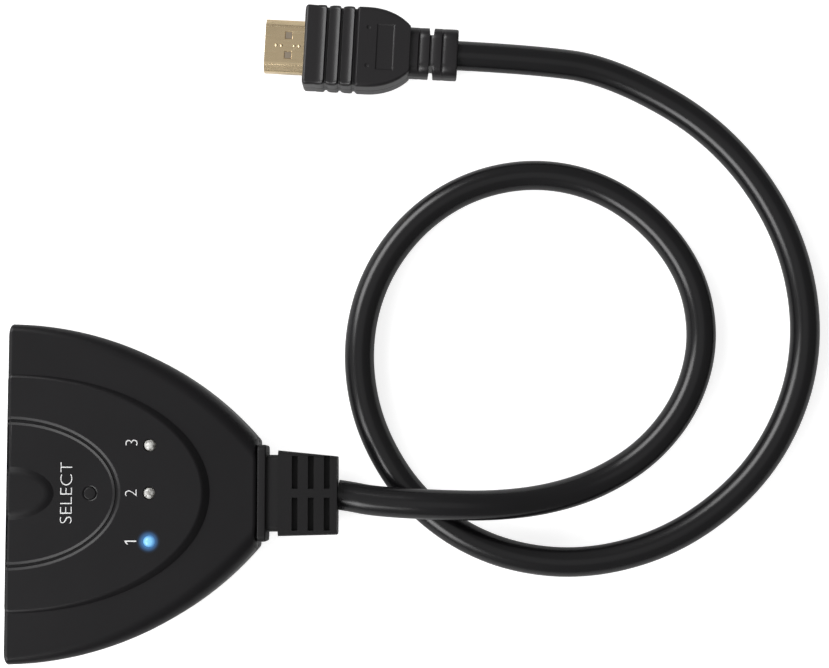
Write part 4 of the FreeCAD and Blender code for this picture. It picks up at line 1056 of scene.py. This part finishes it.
# A sunk panel and two dots on each face, and the sleeve's opening
for side in (-1, 1):
    panel = block((PANEL[0], -PANEL_SIDE, PANEL_FLOOR), (PANEL[1], PANEL_SIDE, HOUSING_FACE + PAST))
    bevel(panel, lambda spot: abs(spot.z - PANEL_FLOOR) < NEAR, PANEL_ROUND, 3)
    panel.data.transform(Matrix.Rotation(0 if side > 0 else math.pi, 4, "X"))
    combine(housing, panel, "DIFFERENCE")
    face = side * HOUSING_FACE
    for middle in (-DOT_ASIDE, DOT_ASIDE):
        dot = drum(DOT_RADIUS, DOT, middle, face - DOT_DEPTH, face + DOT_DEPTH, 16)
        combine(housing, dot, "DIFFERENCE")
opening = block((SLEEVE_BACK, -SLEEVE_SIDE, -SLEEVE_FACE), (HOUSING_FRONT + PAST, SLEEVE_SIDE, SLEEVE_FACE))
combine(housing, opening, "DIFFERENCE")
soften(housing, HOUSING_EDGE, 2, 38)
housing.data.transform(plug_place)
housing_vinyl = moulded("housing vinyl", (0.0115, 0.0105, 0.0115), roughness=0.33, grain=0.3 * MM,
                        relief=0.005 * MM, gloss=0.41)
fit(housing, "plug_housing", housing_vinyl, ["plug_overmould"])


# The lead
# A round cable with a soft black jacket, as long as the photograph shows it. It leaves the boot, climbs
# over its own second strand, makes one loop on the table and comes back to the plug.

LEAD_ROUTE = (
    (0.0510, -0.0004, 0.0100), (0.0535, -0.0007, 0.0100), (0.0605, -0.0021, 0.0111),
    (0.0765, -0.0030, 0.0129), (0.0912, -0.0032, 0.0106), (0.1053, -0.0015, 0.0064),
    (0.1188, 0.0029, 0.0038), (0.1315, 0.0113, 0.0038), (0.1410, 0.0240, 0.0038),
    (0.1451, 0.0394, 0.0038), (0.1424, 0.0556, 0.0038), (0.1325, 0.0699, 0.0038),
    (0.1181, 0.0797, 0.0038), (0.1010, 0.0830, 0.0038), (0.0835, 0.0792, 0.0038),
    (0.0688, 0.0688, 0.0038), (0.0587, 0.0532, 0.0038), (0.0553, 0.0346, 0.0038),
    (0.0592, 0.0149, 0.0038), (0.0714, -0.0038, 0.0038), (0.0911, -0.0159, 0.0038),
    (0.1155, -0.0186, 0.0038), (0.1408, -0.0105, 0.0038), (0.1622, 0.0088, 0.0038),
    (0.1726, 0.0363, 0.0038), (0.1683, 0.0666, 0.0038), (0.1501, 0.0933, 0.0038),
    (0.1217, 0.1097, 0.0038), (0.1010, 0.11218, 0.0057), (0.0816, 0.1132, 0.0057))
LEAD_DIAMETER = 7.6 * MM

line = bpy.data.curves.new("lead_jacket", "CURVE")
line.dimensions = "3D"
strand = line.splines.new("NURBS")
strand.points.add(len(LEAD_ROUTE) - 1)
for point, spot in zip(strand.points, LEAD_ROUTE):
    point.co = (*spot, 1)
strand.order_u = 3
strand.use_endpoint_u = True
strand.resolution_u = 12
line.bevel_depth = LEAD_DIAMETER / 2
line.bevel_resolution = 10
line.use_fill_caps = True
jacket = bpy.data.objects.new("lead_jacket", line)
bpy.context.collection.objects.link(jacket)
line.materials.append(jacket_vinyl.owner)
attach(jacket, "case")
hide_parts("lead")
